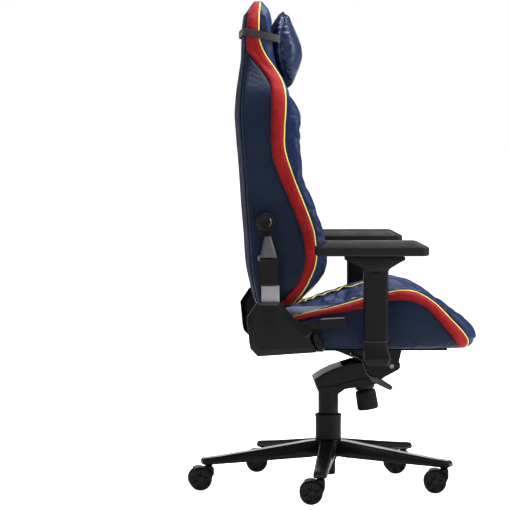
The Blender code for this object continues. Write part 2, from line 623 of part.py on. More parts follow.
def side_cover(side_name, side, notch):
    """A moulded cap: an outline face with its rim turned inwards, given its wall by Solidify."""
    line = [(-0.203, 0.517), (-0.144, 0.517), (-0.134, 0.509), (-0.113, 0.483), (-0.080, 0.455),
            (-0.058, 0.443), (-0.067, 0.429), (-0.060, 0.408), (-0.048, 0.388), (-0.201, 0.378),
            (-0.220, 0.398), (-0.223, 0.414), (-0.229, 0.478), (-0.221, 0.491)]
    if not notch:
        line = [(x + COVER_SHORTER * max(0.0, (-0.140 - x) / 0.089), z) for x, z in line]
    inner, outer = side * SIDE_COVER_Y, side * (SIDE_COVER_Y + SIDE_COVER_DEPTH)
    work = bmesh.new()
    low = [work.verts.new((x, inner, z)) for x, z in line]
    high = [work.verts.new((x, outer, z)) for x, z in line]
    work.faces.new(high)
    for i in range(len(line)):
        j = (i + 1) % len(line)
        work.faces.new((low[i], low[j], high[j], high[i]))
    bmesh.ops.recalc_face_normals(work, faces=work.faces)
    outer_face = max(work.faces, key=lambda face: len(face.verts))
    if outer_face.normal.y * side < 0:
        bmesh.ops.reverse_faces(work, faces=work.faces)
    cover = add(f"side_cover_{side_name}", mesh_of("side_cover", work), "tilt", "black_plastic")
    wall = cover.modifiers.new("wall", "SOLIDIFY")
    wall.thickness = SIDE_COVER_WALL
    wall.offset = -1.0
    wall.use_even_offset = True
    if notch:
        wedge = [(RECLINE_X + 0.010, RECLINE_Z), *around_recliner(0.145, -12, 54, 11)]
        y = side * (RECLINE_LEVER_Y + RECLINE_LEVER_THICK / 2)
        cutter = side_plate("lever_notch", None, None, [wedge], y, RECLINE_LEVER_THICK + 0.006)
        combine(cover, cutter, "DIFFERENCE")


def recline_lever():
    """Hub round the pin, a flat arm out through the cover's notch and a grey paddle."""
    y = -(RECLINE_LEVER_Y + RECLINE_LEVER_THICK / 2)
    line = [(-0.036, 0.4485), (-0.036, 0.4640), *around_recliner(0.014, 60, 300, 30)]
    thick = RECLINE_LEVER_THICK
    lever = side_plate("recline_lever", "recline_lever_pivot", "black_metal", [line], y, thick)
    hole = bpy.data.objects["recline_hole_right"]
    combine(lever, hole, "DIFFERENCE")
    paddle_line = [(-0.044, 0.452), (-0.030, 0.448), (0.024, 0.450), (0.030, 0.456), (0.030, 0.471),
                   (0.024, 0.477), (-0.034, 0.472), (-0.044, 0.464)]
    paddle = side_plate("recline_paddle_form", None, None, [paddle_line], y, RECLINE_PADDLE_THICK)
    combine(lever, bevel(paddle, 0.002), "UNION")


# ---- back -----------------------------------------------------------------------------------
BACK_STATIONS = (  # height share, rear x, wing front x, middle front x, inset of the side
    (0.0000, -0.198, -0.112, -0.128, 0.072),
    (0.0150, -0.201, -0.092, -0.118, 0.040),
    (0.0600, -0.207, -0.058, -0.100, 0.020),
    (0.0987, -0.214, -0.026, -0.090, 0.017),
    (0.1425, -0.218, -0.013, -0.085, 0.017),
    (0.2175, -0.221, -0.015, -0.088, 0.017),
    (0.3200, -0.228, -0.041, -0.100, 0.015),
    (0.4237, -0.233, -0.076, -0.114, 0.009),
    (0.5488, -0.241, -0.084, -0.126, 0.000),
    (0.6325, -0.246, -0.083, -0.138, 0.000),
    (0.7050, -0.242, -0.112, -0.149, 0.016),
    (0.7612, -0.236, -0.136, -0.158, 0.050),
    (0.8175, -0.231, -0.157, -0.173, 0.080),
    (0.9300, -0.231, -0.159, -0.174, 0.084),
    (0.9737, -0.224, -0.166, -0.178, 0.102),
    (0.9925, -0.213, -0.171, -0.179, 0.122),
    (1.0000, -0.207, -0.177, -0.181, 0.138),
)


def back_at(z):
    """Rear x, wing front x, middle front x and half width of the back at a height."""
    rear, wing, middle, inset = between(BACK_STATIONS, (z - BACK_BOTTOM) / BACK_HEIGHT)
    return rear, wing, middle, SEAT_HALF_WIDTH - inset


def back_levels(low=BACK_BOTTOM - 1.0, high=BACK_TOP + 1.0):
    """The heights of the back's stations that lie between two heights."""
    levels = [BACK_BOTTOM + row[0] * BACK_HEIGHT for row in BACK_STATIONS]
    return [z for z in levels if low < z < high]


def back_outline(rear, wing, middle, half, grow=0.0):
    """One closed section of the back in plan: flat rear, wings at the sides, dished middle."""
    depth = wing - rear
    soft = min(0.010, 0.2 * depth)
    round_off = 0.7 * grow
    half_ring = [(rear - grow, 0.0), (rear - grow, half - 0.030),
                 (rear + soft - round_off, half - soft + round_off),
                 (rear + 3 * soft - round_off, half + grow), (wing - 1.8 * soft, half + grow),
                 (wing - 0.8 * soft + round_off, half - soft + round_off), (wing + grow, half - 0.028),
                 (wing - 0.4 * soft + grow, half - 0.050),
                 (middle + 0.3 * (wing - middle) + grow, half - 0.080),
                 (middle + grow, half - 0.105), (middle + grow, 0.0)]
    other = [(x, -y) for x, y in reversed(half_ring[1:-1])]
    return half_ring + other


def back():
    """Padded front with a pocket for the steel frame, closed by the padded rear panel."""
    rings = []
    for z in back_levels():
        rear, wing, middle, half = back_at(z)
        line = back_outline(rear + REAR_PANEL_THICK + GAP, wing, middle, half)
        rings.append([(x, y, z) for x, y in line])
    cushion = loft("back_cushion", "recline", "side_leather", rings)
    combine(cushion, back_pocket(), "DIFFERENCE")
    tube_x = back_at(CROSS_Z)[0] + BACK_TUBE_INSET
    cross_hole = rod("cross_tube_hole", None, None, (tube_x, -0.3, CROSS_Z), (tube_x, 0.3, CROSS_Z),
                     BACK_TUBE_RADIUS + POCKET_EASE, 16)
    combine(cushion, cross_hole, "DIFFERENCE")
    panel_rings = []
    for z in back_levels():
        rear, _wing, _middle, half = back_at(z)
        edge = half - 0.012
        inner = rear + REAR_PANEL_THICK
        ring = [(rear + 0.001, -edge + 0.016), (rear, 0.0), (rear + 0.001, edge - 0.016),
                (rear + 0.007, edge - 0.003), (inner, edge), (inner, 0.0), (inner, -edge),
                (rear + 0.007, -edge + 0.003)]
        panel_rings.append([(x, y, z) for x, y in ring])
    loft("back_rear_panel", "recline", "side_leather", panel_rings)


def back_pocket():
    """The hollow behind the padding, following the back's rear line."""
    levels = back_levels(BACK_FRAME_LOW, BACK_FRAME_HIGH)
    levels = [BACK_FRAME_LOW - 0.020, *levels, BACK_FRAME_HIGH + 0.020]
    behind = [(back_at(z)[0] - 0.020, z) for z in levels]
    ahead = [(back_at(z)[0] + POCKET_DEPTH, z) for z in reversed(levels)]
    width = 2 * (BACK_FRAME_HALF_WIDTH + BACK_TUBE_RADIUS + POCKET_EASE)
    return side_plate("back_pocket", None, None, [behind + ahead], 0, width)


def tube_line(z):
    """The frame tube's middle at a height."""
    return back_at(z)[0] + BACK_TUBE_INSET


def back_frame():
    """A tube loop with cross wires, and a cross tube out to the two brackets."""
    half = BACK_FRAME_HALF_WIDTH
    right = [(tube_line(z), -half, z) for z in back_levels(BACK_FRAME_LOW, BACK_FRAME_HIGH)]
    corner = 0.040
    top = [(tube_line(BACK_FRAME_HIGH), y, BACK_FRAME_HIGH) for y in (corner - half, half - corner)]
    bottom = [(tube_line(BACK_FRAME_LOW), y, BACK_FRAME_LOW) for y in (half - corner, corner - half)]
    left = [(x, -y, z) for x, y, z in reversed(right)]
    loop = [*right, *top, *left, *bottom]
    frame = tube("back_frame", "recline", "steel", loop, BACK_TUBE_RADIUS, 2, closed=True)
    reach = BRACKET_Y - GAP
    ends = [(tube_line(CROSS_Z), y, CROSS_Z) for y in (-reach, reach)]
    combine(frame, rod("cross_tube_form", None, None, *ends, BACK_TUBE_RADIUS * 0.97, 12), "UNION")
    bays = math.ceil((BACK_FRAME_HIGH - CROSS_Z) / BACK_WIRE_SPACING)
    for i in range(1, bays):
        z = CROSS_Z + (BACK_FRAME_HIGH - CROSS_Z) * i / bays
        ends = [(tube_line(z), y, z) for y in (-half, half)]
        combine(frame, rod(f"wire_form_{i}", None, None, *ends, BACK_WIRE_RADIUS, 8), "UNION")


def lumbar():
    """A plate behind the padding and the knob on the right side that pushes it forward."""
    x = back_at(LUMBAR_Z)[0] + BACK_TUBE_INSET + BACK_TUBE_RADIUS + 0.0015
    high = LUMBAR_Z + LUMBAR_HEIGHT / 2
    low = LUMBAR_Z - LUMBAR_HEIGHT / 2
    plate = box("lumbar_plate", "lumbar_slide", "black_plastic", (x, -LUMBAR_HALF_WIDTH, low),
                (x + LUMBAR_THICK, LUMBAR_HALF_WIDTH, high))
    bevel(plate, 0.0008)
    start = back_at(LUMBAR_KNOB_Z)[3] + 0.0035
    half = LUMBAR_KNOB_DEPTH / 2
    y = -(start + half)
    basis = Matrix.Translation((LUMBAR_KNOB_X, y, LUMBAR_KNOB_Z)) @ Matrix.Rotation(math.pi / 2, 4, "X")
    ring = LUMBAR_KNOB_RADIUS
    profile = [(0, half - 0.003), (ring - 0.007, half - 0.003), (ring - 0.005, half), (ring - 0.002, half),
               (ring, half - 0.002), (ring, -half), (0, -half)]
    turned("lumbar_knob", "lumbar_knob_pivot", "black_plastic", profile, 24, basis, closed=False)


def head_pillow():
    """A rounded pillow from a subdivided cage, and its elastic strap round the head section."""
    work = bmesh.new()
    cage = [side / 0.80 for side in PILLOW_SIZE]
    bmesh.ops.create_cube(work, size=1.0, matrix=Matrix.Diagonal((*cage, 1.0)))
    bmesh.ops.subdivide_edges(work, edges=work.edges, cuts=1, use_grid_fill=True)
    for vert in work.verts:
        share = Vector([abs(c) / (s / 2) for c, s in zip(vert.co, cage)])
        vert.co *= 0.80 + 0.06 * share.length
    basis = Matrix.Translation((PILLOW_X, 0, PILLOW_Z)) @ Matrix.Rotation(math.radians(PILLOW_LEAN), 4, "Y")
    mesh = mesh_of("head_pillow", work)
    mesh.shade_smooth()
    pillow = add("head_pillow", mesh, "pillow_slide", "side_leather", basis)
    rounding = pillow.modifiers.new("rounding", "SUBSURF")
    rounding.levels = rounding.render_levels = 1
    rear, wing, middle, half = back_at(STRAP_Z - STRAP_HEIGHT)
    inner = back_outline(rear, wing, middle, half, STRAP_EASE)
    outer = back_outline(rear, wing, middle, half, STRAP_EASE + STRAP_THICK)
    mesh = flat_mesh("pillow_strap", [outer, inner], STRAP_HEIGHT)
    mesh.transform(Matrix.Translation((-rear, 0, 0)))
    lean = Matrix.Rotation(-math.radians(STRAP_LEAN), 4, "Y")
    lean = Matrix.Translation((rear, 0, STRAP_Z + 0.006)) @ lean
    add("pillow_strap", mesh, "pillow_slide", "strap_webbing", lean)


# ---- armrests -------------------------------------------------------------------------------
def block_ring(x, y, z, length, width, corner):
    """A rectangle with cut corners at one height."""
    a, b, c = length / 2, width / 2, corner
    corners = [(a - c, -b), (a, -b + c), (a, b - c), (a - c, b),
               (-a + c, b), (-a, b - c), (-a, -b + c), (-a + c, -b)]
    return [(x + u, y + v, z) for u, v in corners]


def armrest(side_name, side):
    """Foot with post, collar, sleeve with flared head, button, slider, turntable and pad."""
    foot_top = SEAT_BOTTOM - GAP - BASE_COVER_THICK - GAP
    half_length, half_width = POST_LENGTH / 2, POST_WIDTH / 2
    outer = ARM_Y + half_width
    line = [(ARM_FOOT_INNER, foot_top - ARM_FOOT_THICK), (outer, foot_top - ARM_FOOT_THICK),
            (outer, POST_TOP), (ARM_Y - half_width, POST_TOP), (ARM_Y - half_width, foot_top),
            (ARM_FOOT_INNER, foot_top)]
    line = [(side * y, z) for y, z in line]
    basis = Matrix.Translation((ARM_X, 0, 0)) @ FACE_ON
    form = flat_mesh("arm_bracket", [line], POST_LENGTH)
    bevel(add(f"arm_bracket_{side_name}", form, "tilt", "black_metal", basis), 0.001)
    collar(side_name, side, foot_top)
    y, head_y = side * ARM_Y, side * HEAD_Y
    rings = [block_ring(ARM_X, y, SLEEVE_BOTTOM, SLEEVE_LENGTH, SLEEVE_WIDTH, 0.005),
             block_ring(ARM_X, y, SLEEVE_TOP - 0.004, SLEEVE_LENGTH, SLEEVE_WIDTH, 0.005),
             block_ring(ARM_X, y, SLEEVE_TOP + 0.004, SLEEVE_LENGTH + 0.008, SLEEVE_WIDTH + 0.004, 0.006),
             block_ring(HEAD_X, head_y, HEAD_TOP - 0.006, HEAD_LENGTH, HEAD_WIDTH, 0.012),
             block_ring(HEAD_X, head_y, HEAD_TOP, HEAD_LENGTH, HEAD_WIDTH, 0.012)]
    sleeve = loft(f"arm_sleeve_{side_name}", f"arm_height_{side_name}", "black_plastic", rings)
    ease = POST_EASE
    well = mirrored_box(f"sleeve_well_{side_name}", None, None, side,
                        (ARM_X - half_length - ease, ARM_Y - half_width - ease, SLEEVE_BOTTOM - 0.01),
                        (ARM_X + half_length + ease, outer + ease, POST_TOP + 0.012))
    combine(sleeve, well, "DIFFERENCE")
    button(side_name, side, sleeve)
    low = HEAD_TOP + 2 * GAP
    slider = mirrored_box(f"arm_slider_{side_name}", f"arm_width_{side_name}", "steel", side,
                          (HEAD_X - SLIDER_LENGTH / 2, HEAD_Y - SLIDER_WIDTH / 2, low),
                          (HEAD_X + SLIDER_LENGTH / 2, HEAD_Y + SLIDER_WIDTH / 2, low + SLIDER_THICK))
    bevel(slider, 0.001)
    turn_low = low + SLIDER_THICK + 2 * GAP
    rod(f"arm_turntable_{side_name}", f"arm_turn_{side_name}", "steel", (HEAD_X, head_y, turn_low),
        (HEAD_X, head_y, turn_low + TURNTABLE_THICK), TURNTABLE_RADIUS, 24)
    pad(side_name, side, turn_low + TURNTABLE_THICK + 2 * GAP)


def collar(side_name, side, foot_top):
    """The flared moulding where the post leaves the seat, open towards the seat for the foot."""
    y = side * ARM_Y
    rings = [block_ring(ARM_X + 0.004, y, COLLAR_BOTTOM, 0.058, COLLAR_WIDTH, 0.005),
             block_ring(ARM_X + 0.005, y, COLLAR_BOTTOM + 0.018, 0.073, COLLAR_WIDTH + 0.008, 0.006),
             block_ring(ARM_X, y, COLLAR_TOP - 0.012, 0.061, COLLAR_WIDTH, 0.005),
             block_ring(ARM_X, y, COLLAR_TOP, 0.061, COLLAR_WIDTH, 0.005)]
    piece = loft(f"arm_collar_{side_name}", "tilt", "black_plastic", rings)
    half_length, half_width = POST_LENGTH / 2 + POST_EASE, POST_WIDTH / 2 + POST_EASE
    low = foot_top - ARM_FOOT_THICK - POST_EASE
    shaft = mirrored_box(f"collar_shaft_{side_name}", None, None, side,
                         (ARM_X - half_length, ARM_Y - half_width, low),
                         (ARM_X + half_length, ARM_Y + half_width, COLLAR_TOP + 0.01))
    slot = mirrored_box(f"collar_slot_{side_name}", None, None, side,
                        (ARM_X - half_length, ARM_Y - 0.040, low),
                        (ARM_X + half_length, ARM_Y + half_width, foot_top + POST_EASE))
    combine(piece, shaft, "DIFFERENCE")
    combine(piece, slot, "DIFFERENCE")


def button(side_name, side, sleeve):
    """The height button in a recess of the sleeve's outer face."""
    face = ARM_Y + SLEEVE_WIDTH / 2
    long, deep, tall = BUTTON_SIZE
    ease = 0.0005
    start = face + BUTTON_PROUD - deep
    recess = mirrored_box(f"button_recess_{side_name}", None, None, side,
                          (BUTTON_X - long / 2 - ease, start - 0.0023, BUTTON_Z - tall / 2 - ease),
                          (BUTTON_X + long / 2 + ease, face + 0.01, BUTTON_Z + tall / 2 + ease))
    combine(sleeve, recess, "DIFFERENCE")
    piece = mirrored_box(f"arm_button_{side_name}", f"arm_button_pivot_{side_name}", "grey_plastic", side,
                         (BUTTON_X - long / 2, start, BUTTON_Z - tall / 2),
                         (BUTTON_X + long / 2, start + deep, BUTTON_Z + tall / 2))
    bevel(piece, 0.0008)


def pad(side_name, side, ceiling):
    """The soft-topped pad, hollow underneath where the slider and turntable work."""
    back = LEFT_PAD_BACK if side > 0 else 0.0
    x = PAD_X - back
    top = PAD_BOTTOM + PAD_THICK
    y = side * PAD_Y
    rings = [block_ring(x, y, PAD_BOTTOM, PAD_LENGTH - 0.012, PAD_WIDTH - 0.012, 0.020),
             block_ring(x, y, PAD_BOTTOM + 0.006, PAD_LENGTH, PAD_WIDTH, 0.022),
             block_ring(x, y, top - 0.012, PAD_LENGTH, PAD_WIDTH, 0.022),
             block_ring(x, y, top, PAD_LENGTH - 0.022, PAD_WIDTH - 0.022, 0.018)]
    piece = loft(f"arm_pad_{side_name}", f"arm_depth_{side_name}", "pad_rubber", rings)
    reach = math.hypot(SLIDER_LENGTH, SLIDER_WIDTH) / 2
    hollow = mirrored_box(f"pad_hollow_{side_name}", None, None, side,
                          (HEAD_X - reach - PAD_TRAVEL_BACK, PAD_Y - PAD_ACROSS, PAD_BOTTOM - 0.01),
                          (HEAD_X + reach + PAD_TRAVEL_FRONT, PAD_Y + PAD_ACROSS, ceiling))
    combine(piece, hollow, "DIFFERENCE")


# ---- assembly -------------------------------------------------------------------------------
def make_finishes():
    """The chair's finishes."""
    finish("leg_metal", (0.10, 0.10, 0.11), 0.35, 0.6)
    finish("black_metal", (0.03, 0.03, 0.035), 0.45, 0.6)
    finish("steel", (0.35, 0.35, 0.36), 0.40, 0.9)
    finish("bright_metal", (0.55, 0.54, 0.56), 0.30, 0.9)
    finish("black_plastic", (0.02, 0.02, 0.022), 0.45)
    finish("wheel_plastic", (0.018, 0.018, 0.02), 0.40)
    finish("grey_plastic", (0.16, 0.155, 0.165), 0.40)
    finish("pad_rubber", (0.018, 0.018, 0.02), 0.60)
    finish("black_fabric", (0.02, 0.02, 0.022), 0.85)
    finish("side_leather", (0.022, 0.048, 0.120), 0.42)
    finish("strap_webbing", (0.06, 0.062, 0.062), 0.80)


def make_pivots():
    """Empties on the joint axes, from the floor up."""
    pivot("lift", (0, 0, PISTON_BOTTOM), "chair")
    pivot("swivel", (0, 0, MECH_BOTTOM), "lift")
    pivot("tilt", (TILT_X, 0, TILT_Z), "swivel")
    pivot("tension_knob_pivot", (KNOB_X, 0, KNOB_Z), "swivel")
    pivot("height_lever_pivot", (LEVER_X, -MECH_HALF_WIDTH, LEVER_Z), "tilt")
    pivot("recline", (RECLINE_X, 0, RECLINE_Z), "tilt")
    pivot("recline_lever_pivot", (RECLINE_X, -RECLINE_LEVER_Y, RECLINE_Z), "tilt")
    pivot("lumbar_knob_pivot", (LUMBAR_KNOB_X, -BRACKET_Y, LUMBAR_KNOB_Z), "recline")
    pivot("lumbar_slide", (back_at(LUMBAR_Z)[0], 0, LUMBAR_Z), "recline")
    pivot("pillow_slide", (PILLOW_X, 0, PILLOW_Z), "recline")
    for side_name, side in SIDES:
        pivot(f"arm_height_{side_name}", (ARM_X, side * ARM_Y, SLEEVE_BOTTOM), "tilt")
        pivot(f"arm_button_pivot_{side_name}", (BUTTON_X, side * (ARM_Y + SLEEVE_WIDTH / 2), BUTTON_Z),
              f"arm_height_{side_name}")
        pivot(f"arm_width_{side_name}", (HEAD_X, side * HEAD_Y, HEAD_TOP), f"arm_height_{side_name}")
        pivot(f"arm_turn_{side_name}", (HEAD_X, side * HEAD_Y, HEAD_TOP), f"arm_width_{side_name}")
        pivot(f"arm_depth_{side_name}", (HEAD_X, side * HEAD_Y, HEAD_TOP), f"arm_turn_{side_name}")


make_finishes()
chair = bpy.data.objects.new("chair", None)
CHAIR.objects.link(chair)
chair.location = (COLUMN_X, 0, 0)
PIVOT_AT["chair"] = Matrix.Identity(4)
make_pivots()

star_base()
gas_column()
for number, leg_heading in enumerate(leg_headings()):
    caster(number, leg_heading)
mechanism()
height_lever()
tension_knob()
seat()
for each_name, each_side in SIDES:
    recliner(each_name, each_side)
    armrest(each_name, each_side)
recline_lever()
back()
back_frame()
lumbar()
head_pillow()
bpy.context.view_layer.update()
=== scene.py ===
"""Looks of a gaming chair: its upholstery, mouldings, star base and finishes.

Every piece is laid out in metres in the chair's own frame: it faces +X, its right side is -Y and
+Z is up. Distances along X are measured from the gas column, COLUMN_X ahead of the frame's origin,
until place() moves them into the frame.
"""

import json
import math

import bpy
import numpy as np
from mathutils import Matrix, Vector


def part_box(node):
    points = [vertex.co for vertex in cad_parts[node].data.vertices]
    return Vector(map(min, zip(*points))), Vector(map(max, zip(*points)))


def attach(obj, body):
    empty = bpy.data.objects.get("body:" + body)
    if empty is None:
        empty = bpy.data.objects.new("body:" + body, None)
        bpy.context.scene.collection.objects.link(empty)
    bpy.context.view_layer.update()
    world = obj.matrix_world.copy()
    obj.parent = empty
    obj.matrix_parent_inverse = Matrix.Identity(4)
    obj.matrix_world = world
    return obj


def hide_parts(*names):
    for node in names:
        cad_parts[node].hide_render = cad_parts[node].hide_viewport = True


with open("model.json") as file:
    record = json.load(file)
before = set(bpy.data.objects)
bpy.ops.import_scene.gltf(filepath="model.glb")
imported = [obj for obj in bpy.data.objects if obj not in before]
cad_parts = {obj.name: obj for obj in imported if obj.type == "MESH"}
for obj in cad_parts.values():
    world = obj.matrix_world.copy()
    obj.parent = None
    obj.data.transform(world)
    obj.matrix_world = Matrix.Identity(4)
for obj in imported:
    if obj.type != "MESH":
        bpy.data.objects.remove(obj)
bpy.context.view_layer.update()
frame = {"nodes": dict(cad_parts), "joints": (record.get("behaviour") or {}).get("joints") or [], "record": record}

COLUMN_X = 0.006
SIDES = (("right", -1), ("left", 1))
SIDE_START = 0.34  # where lines of the side view set out from, further out than any side face


# ---- skins: points and faces ------------------------------------------------------------------
def place(points):
    """Points measured from the gas column, moved into the frame."""
    return np.asarray(points, float) + np.array([COLUMN_X, 0.0, 0.0])


def grid_faces(rows, columns, wrap=True):
    """Quads between the neighbours of a grid of points; wrap joins the last column to the first."""
    last = columns if wrap else columns - 1
    row, column = np.meshgrid(np.arange(rows - 1), np.arange(last), indexing="ij")
    here = row * columns + column
    beside = row * columns + (column + 1) % columns
    return np.stack([here, beside, beside + columns, here + columns], axis=-1).reshape(-1, 4)


def outward(points, faces):
    """The skin with all its faces reversed if the volume that they enclose comes out negative."""
    volume = 0.0
    for size in {len(face) for face in faces}:
        block = np.array([face for face in faces if len(face) == size])
        first = points[block[:, 0]]
        for k in range(1, size - 1):
            volume += np.sum(first * np.cross(points[block[:, k]], points[block[:, k + 1]]))
    if volume < 0:
        faces = [face[::-1] for face in faces]
    return points, faces


def capped(rings, fan=True):
    """A closed skin over a stack of rings, its ends shut by a fan to the middle or by a flat face."""
    rows, columns, _ = rings.shape
    points = rings.reshape(-1, 3)
    faces = grid_faces(rows, columns).tolist()
    ring = np.arange(columns)
    far = ring + (rows - 1) * columns
    if not fan:
        return outward(points, faces + [ring[::-1].tolist(), far.tolist()])
    ahead = np.roll(ring, -1)
    first, last = np.full(columns, len(points)), np.full(columns, len(points) + 1)
    faces += np.stack([ring[ahead], ring, first], axis=-1).tolist()
    faces += np.stack([far, far[ahead], last], axis=-1).tolist()
    return outward(np.concatenate([points, [rings[0].mean(0), rings[-1].mean(0)]]), faces)


def looped(rings):
    """A closed skin whose last ring joins its first, as a hollow turned piece or a strap has."""
    rows, columns, _ = rings.shape
    faces = grid_faces(rows + 1, columns) % (rows * columns)
    return outward(rings.reshape(-1, 3), faces.tolist())


def turned(profile, origin, axis=(0, 0, 1), segments=64, ripple=None, hollow=False):
    """A profile of (radius, height) carried round an axis; ripple(angle) is added to the radius
    of the profile's points that are marked in its third column."""
    profile = np.asarray(profile, float)
    axis = np.asarray(axis, float) / np.linalg.norm(axis)
    helper = np.array([0.0, 0.0, 1.0]) if abs(axis[2]) < 0.9 else np.array([1.0, 0.0, 0.0])
    across = np.cross(helper, axis)
    across /= np.linalg.norm(across)
    up = np.cross(axis, across)
    angle = np.linspace(0, 2 * math.pi, segments, endpoint=False)
    radius = np.repeat(profile[:, :1], segments, axis=1)
    if ripple is not None:
        radius = radius + profile[:, 2:3] * ripple(angle)[None, :]
    rim = np.cos(angle)[:, None] * across + np.sin(angle)[:, None] * up
    rings = np.asarray(origin, float) + radius[..., None] * rim + profile[:, 1, None, None] * axis
    return looped(rings) if hollow else capped(rings)


def slab(outline, low, high):
    """A flat outline in the plane of X and Z, given thickness along Y from low to high."""
    outline = np.asarray(outline, float)
    rings = np.zeros((2, len(outline), 3))
    rings[:, :, 0] = outline[:, 0]
    rings[:, :, 2] = outline[:, 1]
    rings[0, :, 1] = low
    rings[1, :, 1] = high
    return capped(rings, fan=False)


def stack(rings):
    """A faceted block over a few rings with the same number of corners, flat at both ends."""
    return capped(np.asarray(rings, float), fan=False)


def cord_along(path, radius, across, sides=10):
    """A round cord: at each point of the path a ring of the given radius, square to the path.
    across is a direction that the path never takes; both ends draw in."""
    path = np.asarray(path, float)
    ahead = np.gradient(path, axis=0)
    ahead /= np.linalg.norm(ahead, axis=1, keepdims=True)
    beside = np.cross(ahead, np.asarray(across, float))
    beside /= np.linalg.norm(beside, axis=1, keepdims=True)
    above = np.cross(beside, ahead)
    angle = np.linspace(0, 2 * math.pi, sides, endpoint=False)[None, :, None]
    ring = np.cos(angle) * beside[:, None] + np.sin(angle) * above[:, None]
    size = np.full(len(path), radius)
    size[[0, -1]] = radius * 0.4
    return capped(path[:, None] + ring * size[:, None, None])


def ribbon(path, out, rise, width, thick):
    """A flat band along a path: a rectangle with round edges, thick along out, wide along rise."""
    angle = np.linspace(0, 2 * math.pi, 16, endpoint=False)[None, :, None]
    side = np.sign(np.cos(angle)) * np.abs(np.cos(angle)) ** 0.3 * width / 2
    depth = np.sign(np.sin(angle)) * np.abs(np.sin(angle)) ** 0.5 * thick / 2
    return capped(path[:, None] + side * rise[:, None] + depth * out[:, None])


def flowing(points, count, soften=0, closed=False):
    """A path resampled to even steps, then softened by averaging each point with its neighbours."""
    points = np.asarray(points, float)
    if closed:
        points = np.concatenate([points, points[:1]])
    reach = np.concatenate([[0], np.cumsum(np.linalg.norm(np.diff(points, axis=0), axis=1))])
    at = np.linspace(0, reach[-1], count, endpoint=not closed)
    path = np.stack([np.interp(at, reach, column) for column in points.T], axis=1)
    for _ in range(soften):
        inner = (np.roll(path, 1, 0) + 2 * path + np.roll(path, -1, 0)) / 4
        if not closed:
            inner[[0, -1]] = path[[0, -1]]
        path = inner
    return path


def stations(table, at, soften=0):
    """The columns of a table of stations read at given places, each softened along its length."""
    table = np.asarray(table, float)
    columns = np.stack([np.interp(at, table[:, 0], column) for column in table.T[1:]], axis=1)
    for _ in range(soften):
        columns[1:-1] = (columns[:-2] + 2 * columns[1:-1] + columns[2:]) / 4
    return columns.T


def ring_weights(counts, soften):
    """How much of each corner goes into each point of a ring: even steps along every side of a
    closed polygon, then rounded by averaging neighbours. A ring is weights @ corners."""
    corners = len(counts)
    steps = np.concatenate([k + np.arange(n) / n for k, n in enumerate(counts)])
    start = np.floor(steps).astype(int)
    share = steps - start
    weights = np.zeros((len(steps), corners))
    rows = np.arange(len(steps))
    weights[rows, start] = 1 - share
    weights[rows, (start + 1) % corners] += share
    for _ in range(soften):
        weights = (np.roll(weights, 1, 0) + 2 * weights + np.roll(weights, -1, 0)) / 4
    return weights


def joined(*skins):
    """Several closed skins as one list of points and one list of faces."""
    points, faces, start = [], [], 0
    for skin_points, skin_faces in skins:
        points.append(skin_points)
        faces += [[start + int(i) for i in face] for face in skin_faces]
        start += len(skin_points)
    return np.concatenate(points), faces


# ---- pieces -----------------------------------------------------------------------------------
def mesh_object(name, skin):
    """An object at the origin with its place in its mesh."""
    points, faces = skin
    mesh = bpy.data.meshes.new(name)
    mesh.from_pydata(np.asarray(points).tolist(), [], [list(map(int, face)) for face in faces])
    mesh.update()
    made = bpy.data.objects.new(name, mesh)
    bpy.context.scene.collection.objects.link(made)
    return made


def dress(made, body, finish, stands_for=()):
    """Gives a finished object its finish, its body and the nodes it stands for."""
    made.data.materials.append(finish)
    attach(made, body)
    if stands_for:
        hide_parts(*([stands_for] if isinstance(stands_for, str) else stands_for))
    return made


def piece(name, body, skin, finish, stands_for=(), bevel=0.0, corner=32.0):
    """A hard piece: smooth between corners sharper than the given angle, with its edges bevelled."""
    made = mesh_object(name, skin)
    made.data.shade_smooth()
    made.data.set_sharp_from_angle(angle=math.radians(corner))
    if bevel:
        edge = made.modifiers.new("edge", "BEVEL")
        edge.width = bevel
        edge.segments = 2
        edge.limit_method = "ANGLE"
        edge.angle_limit = math.radians(corner)
        edge.harden_normals = True
    return dress(made, body, finish, stands_for)


def coordinates(mesh):
    """A mesh's points as an array."""
    flat = np.empty(len(mesh.vertices) * 3)
    mesh.vertices.foreach_get("co", flat)
    return flat.reshape(-1, 3)


def normals(mesh):
    """The direction out of the surface at each of a mesh's points."""
    flat = np.empty(len(mesh.vertices) * 3)
    mesh.vertices.foreach_get("normal", flat)
    return flat.reshape(-1, 3)


def set_coordinates(mesh, points):
    """Moves a mesh's points to those of an array."""
    mesh.vertices.foreach_set("co", np.asarray(points, float).ravel())
    mesh.update()


def settle(made):
    """Puts what the modifiers make of an object into its mesh and removes the modifiers."""
    bpy.context.view_layer.update()
    mesh = bpy.data.meshes.new_from_object(made.evaluated_get(bpy.context.evaluated_depsgraph_get()))
    made.modifiers.clear()
    made.data = mesh


def nearness(points, paths):
    """How far each point is from the nearest stretch of any of the paths."""
    nearest = np.full(len(points), 1.0)
    for path in paths:
        for start, end in zip(path[:-1], path[1:]):
            span = end - start
            along = np.clip((points - start) @ span / max(span @ span, 1e-12), 0, 1)
            nearest = np.minimum(nearest, np.linalg.norm(points - start - along[:, None] * span, axis=1))
    return nearest


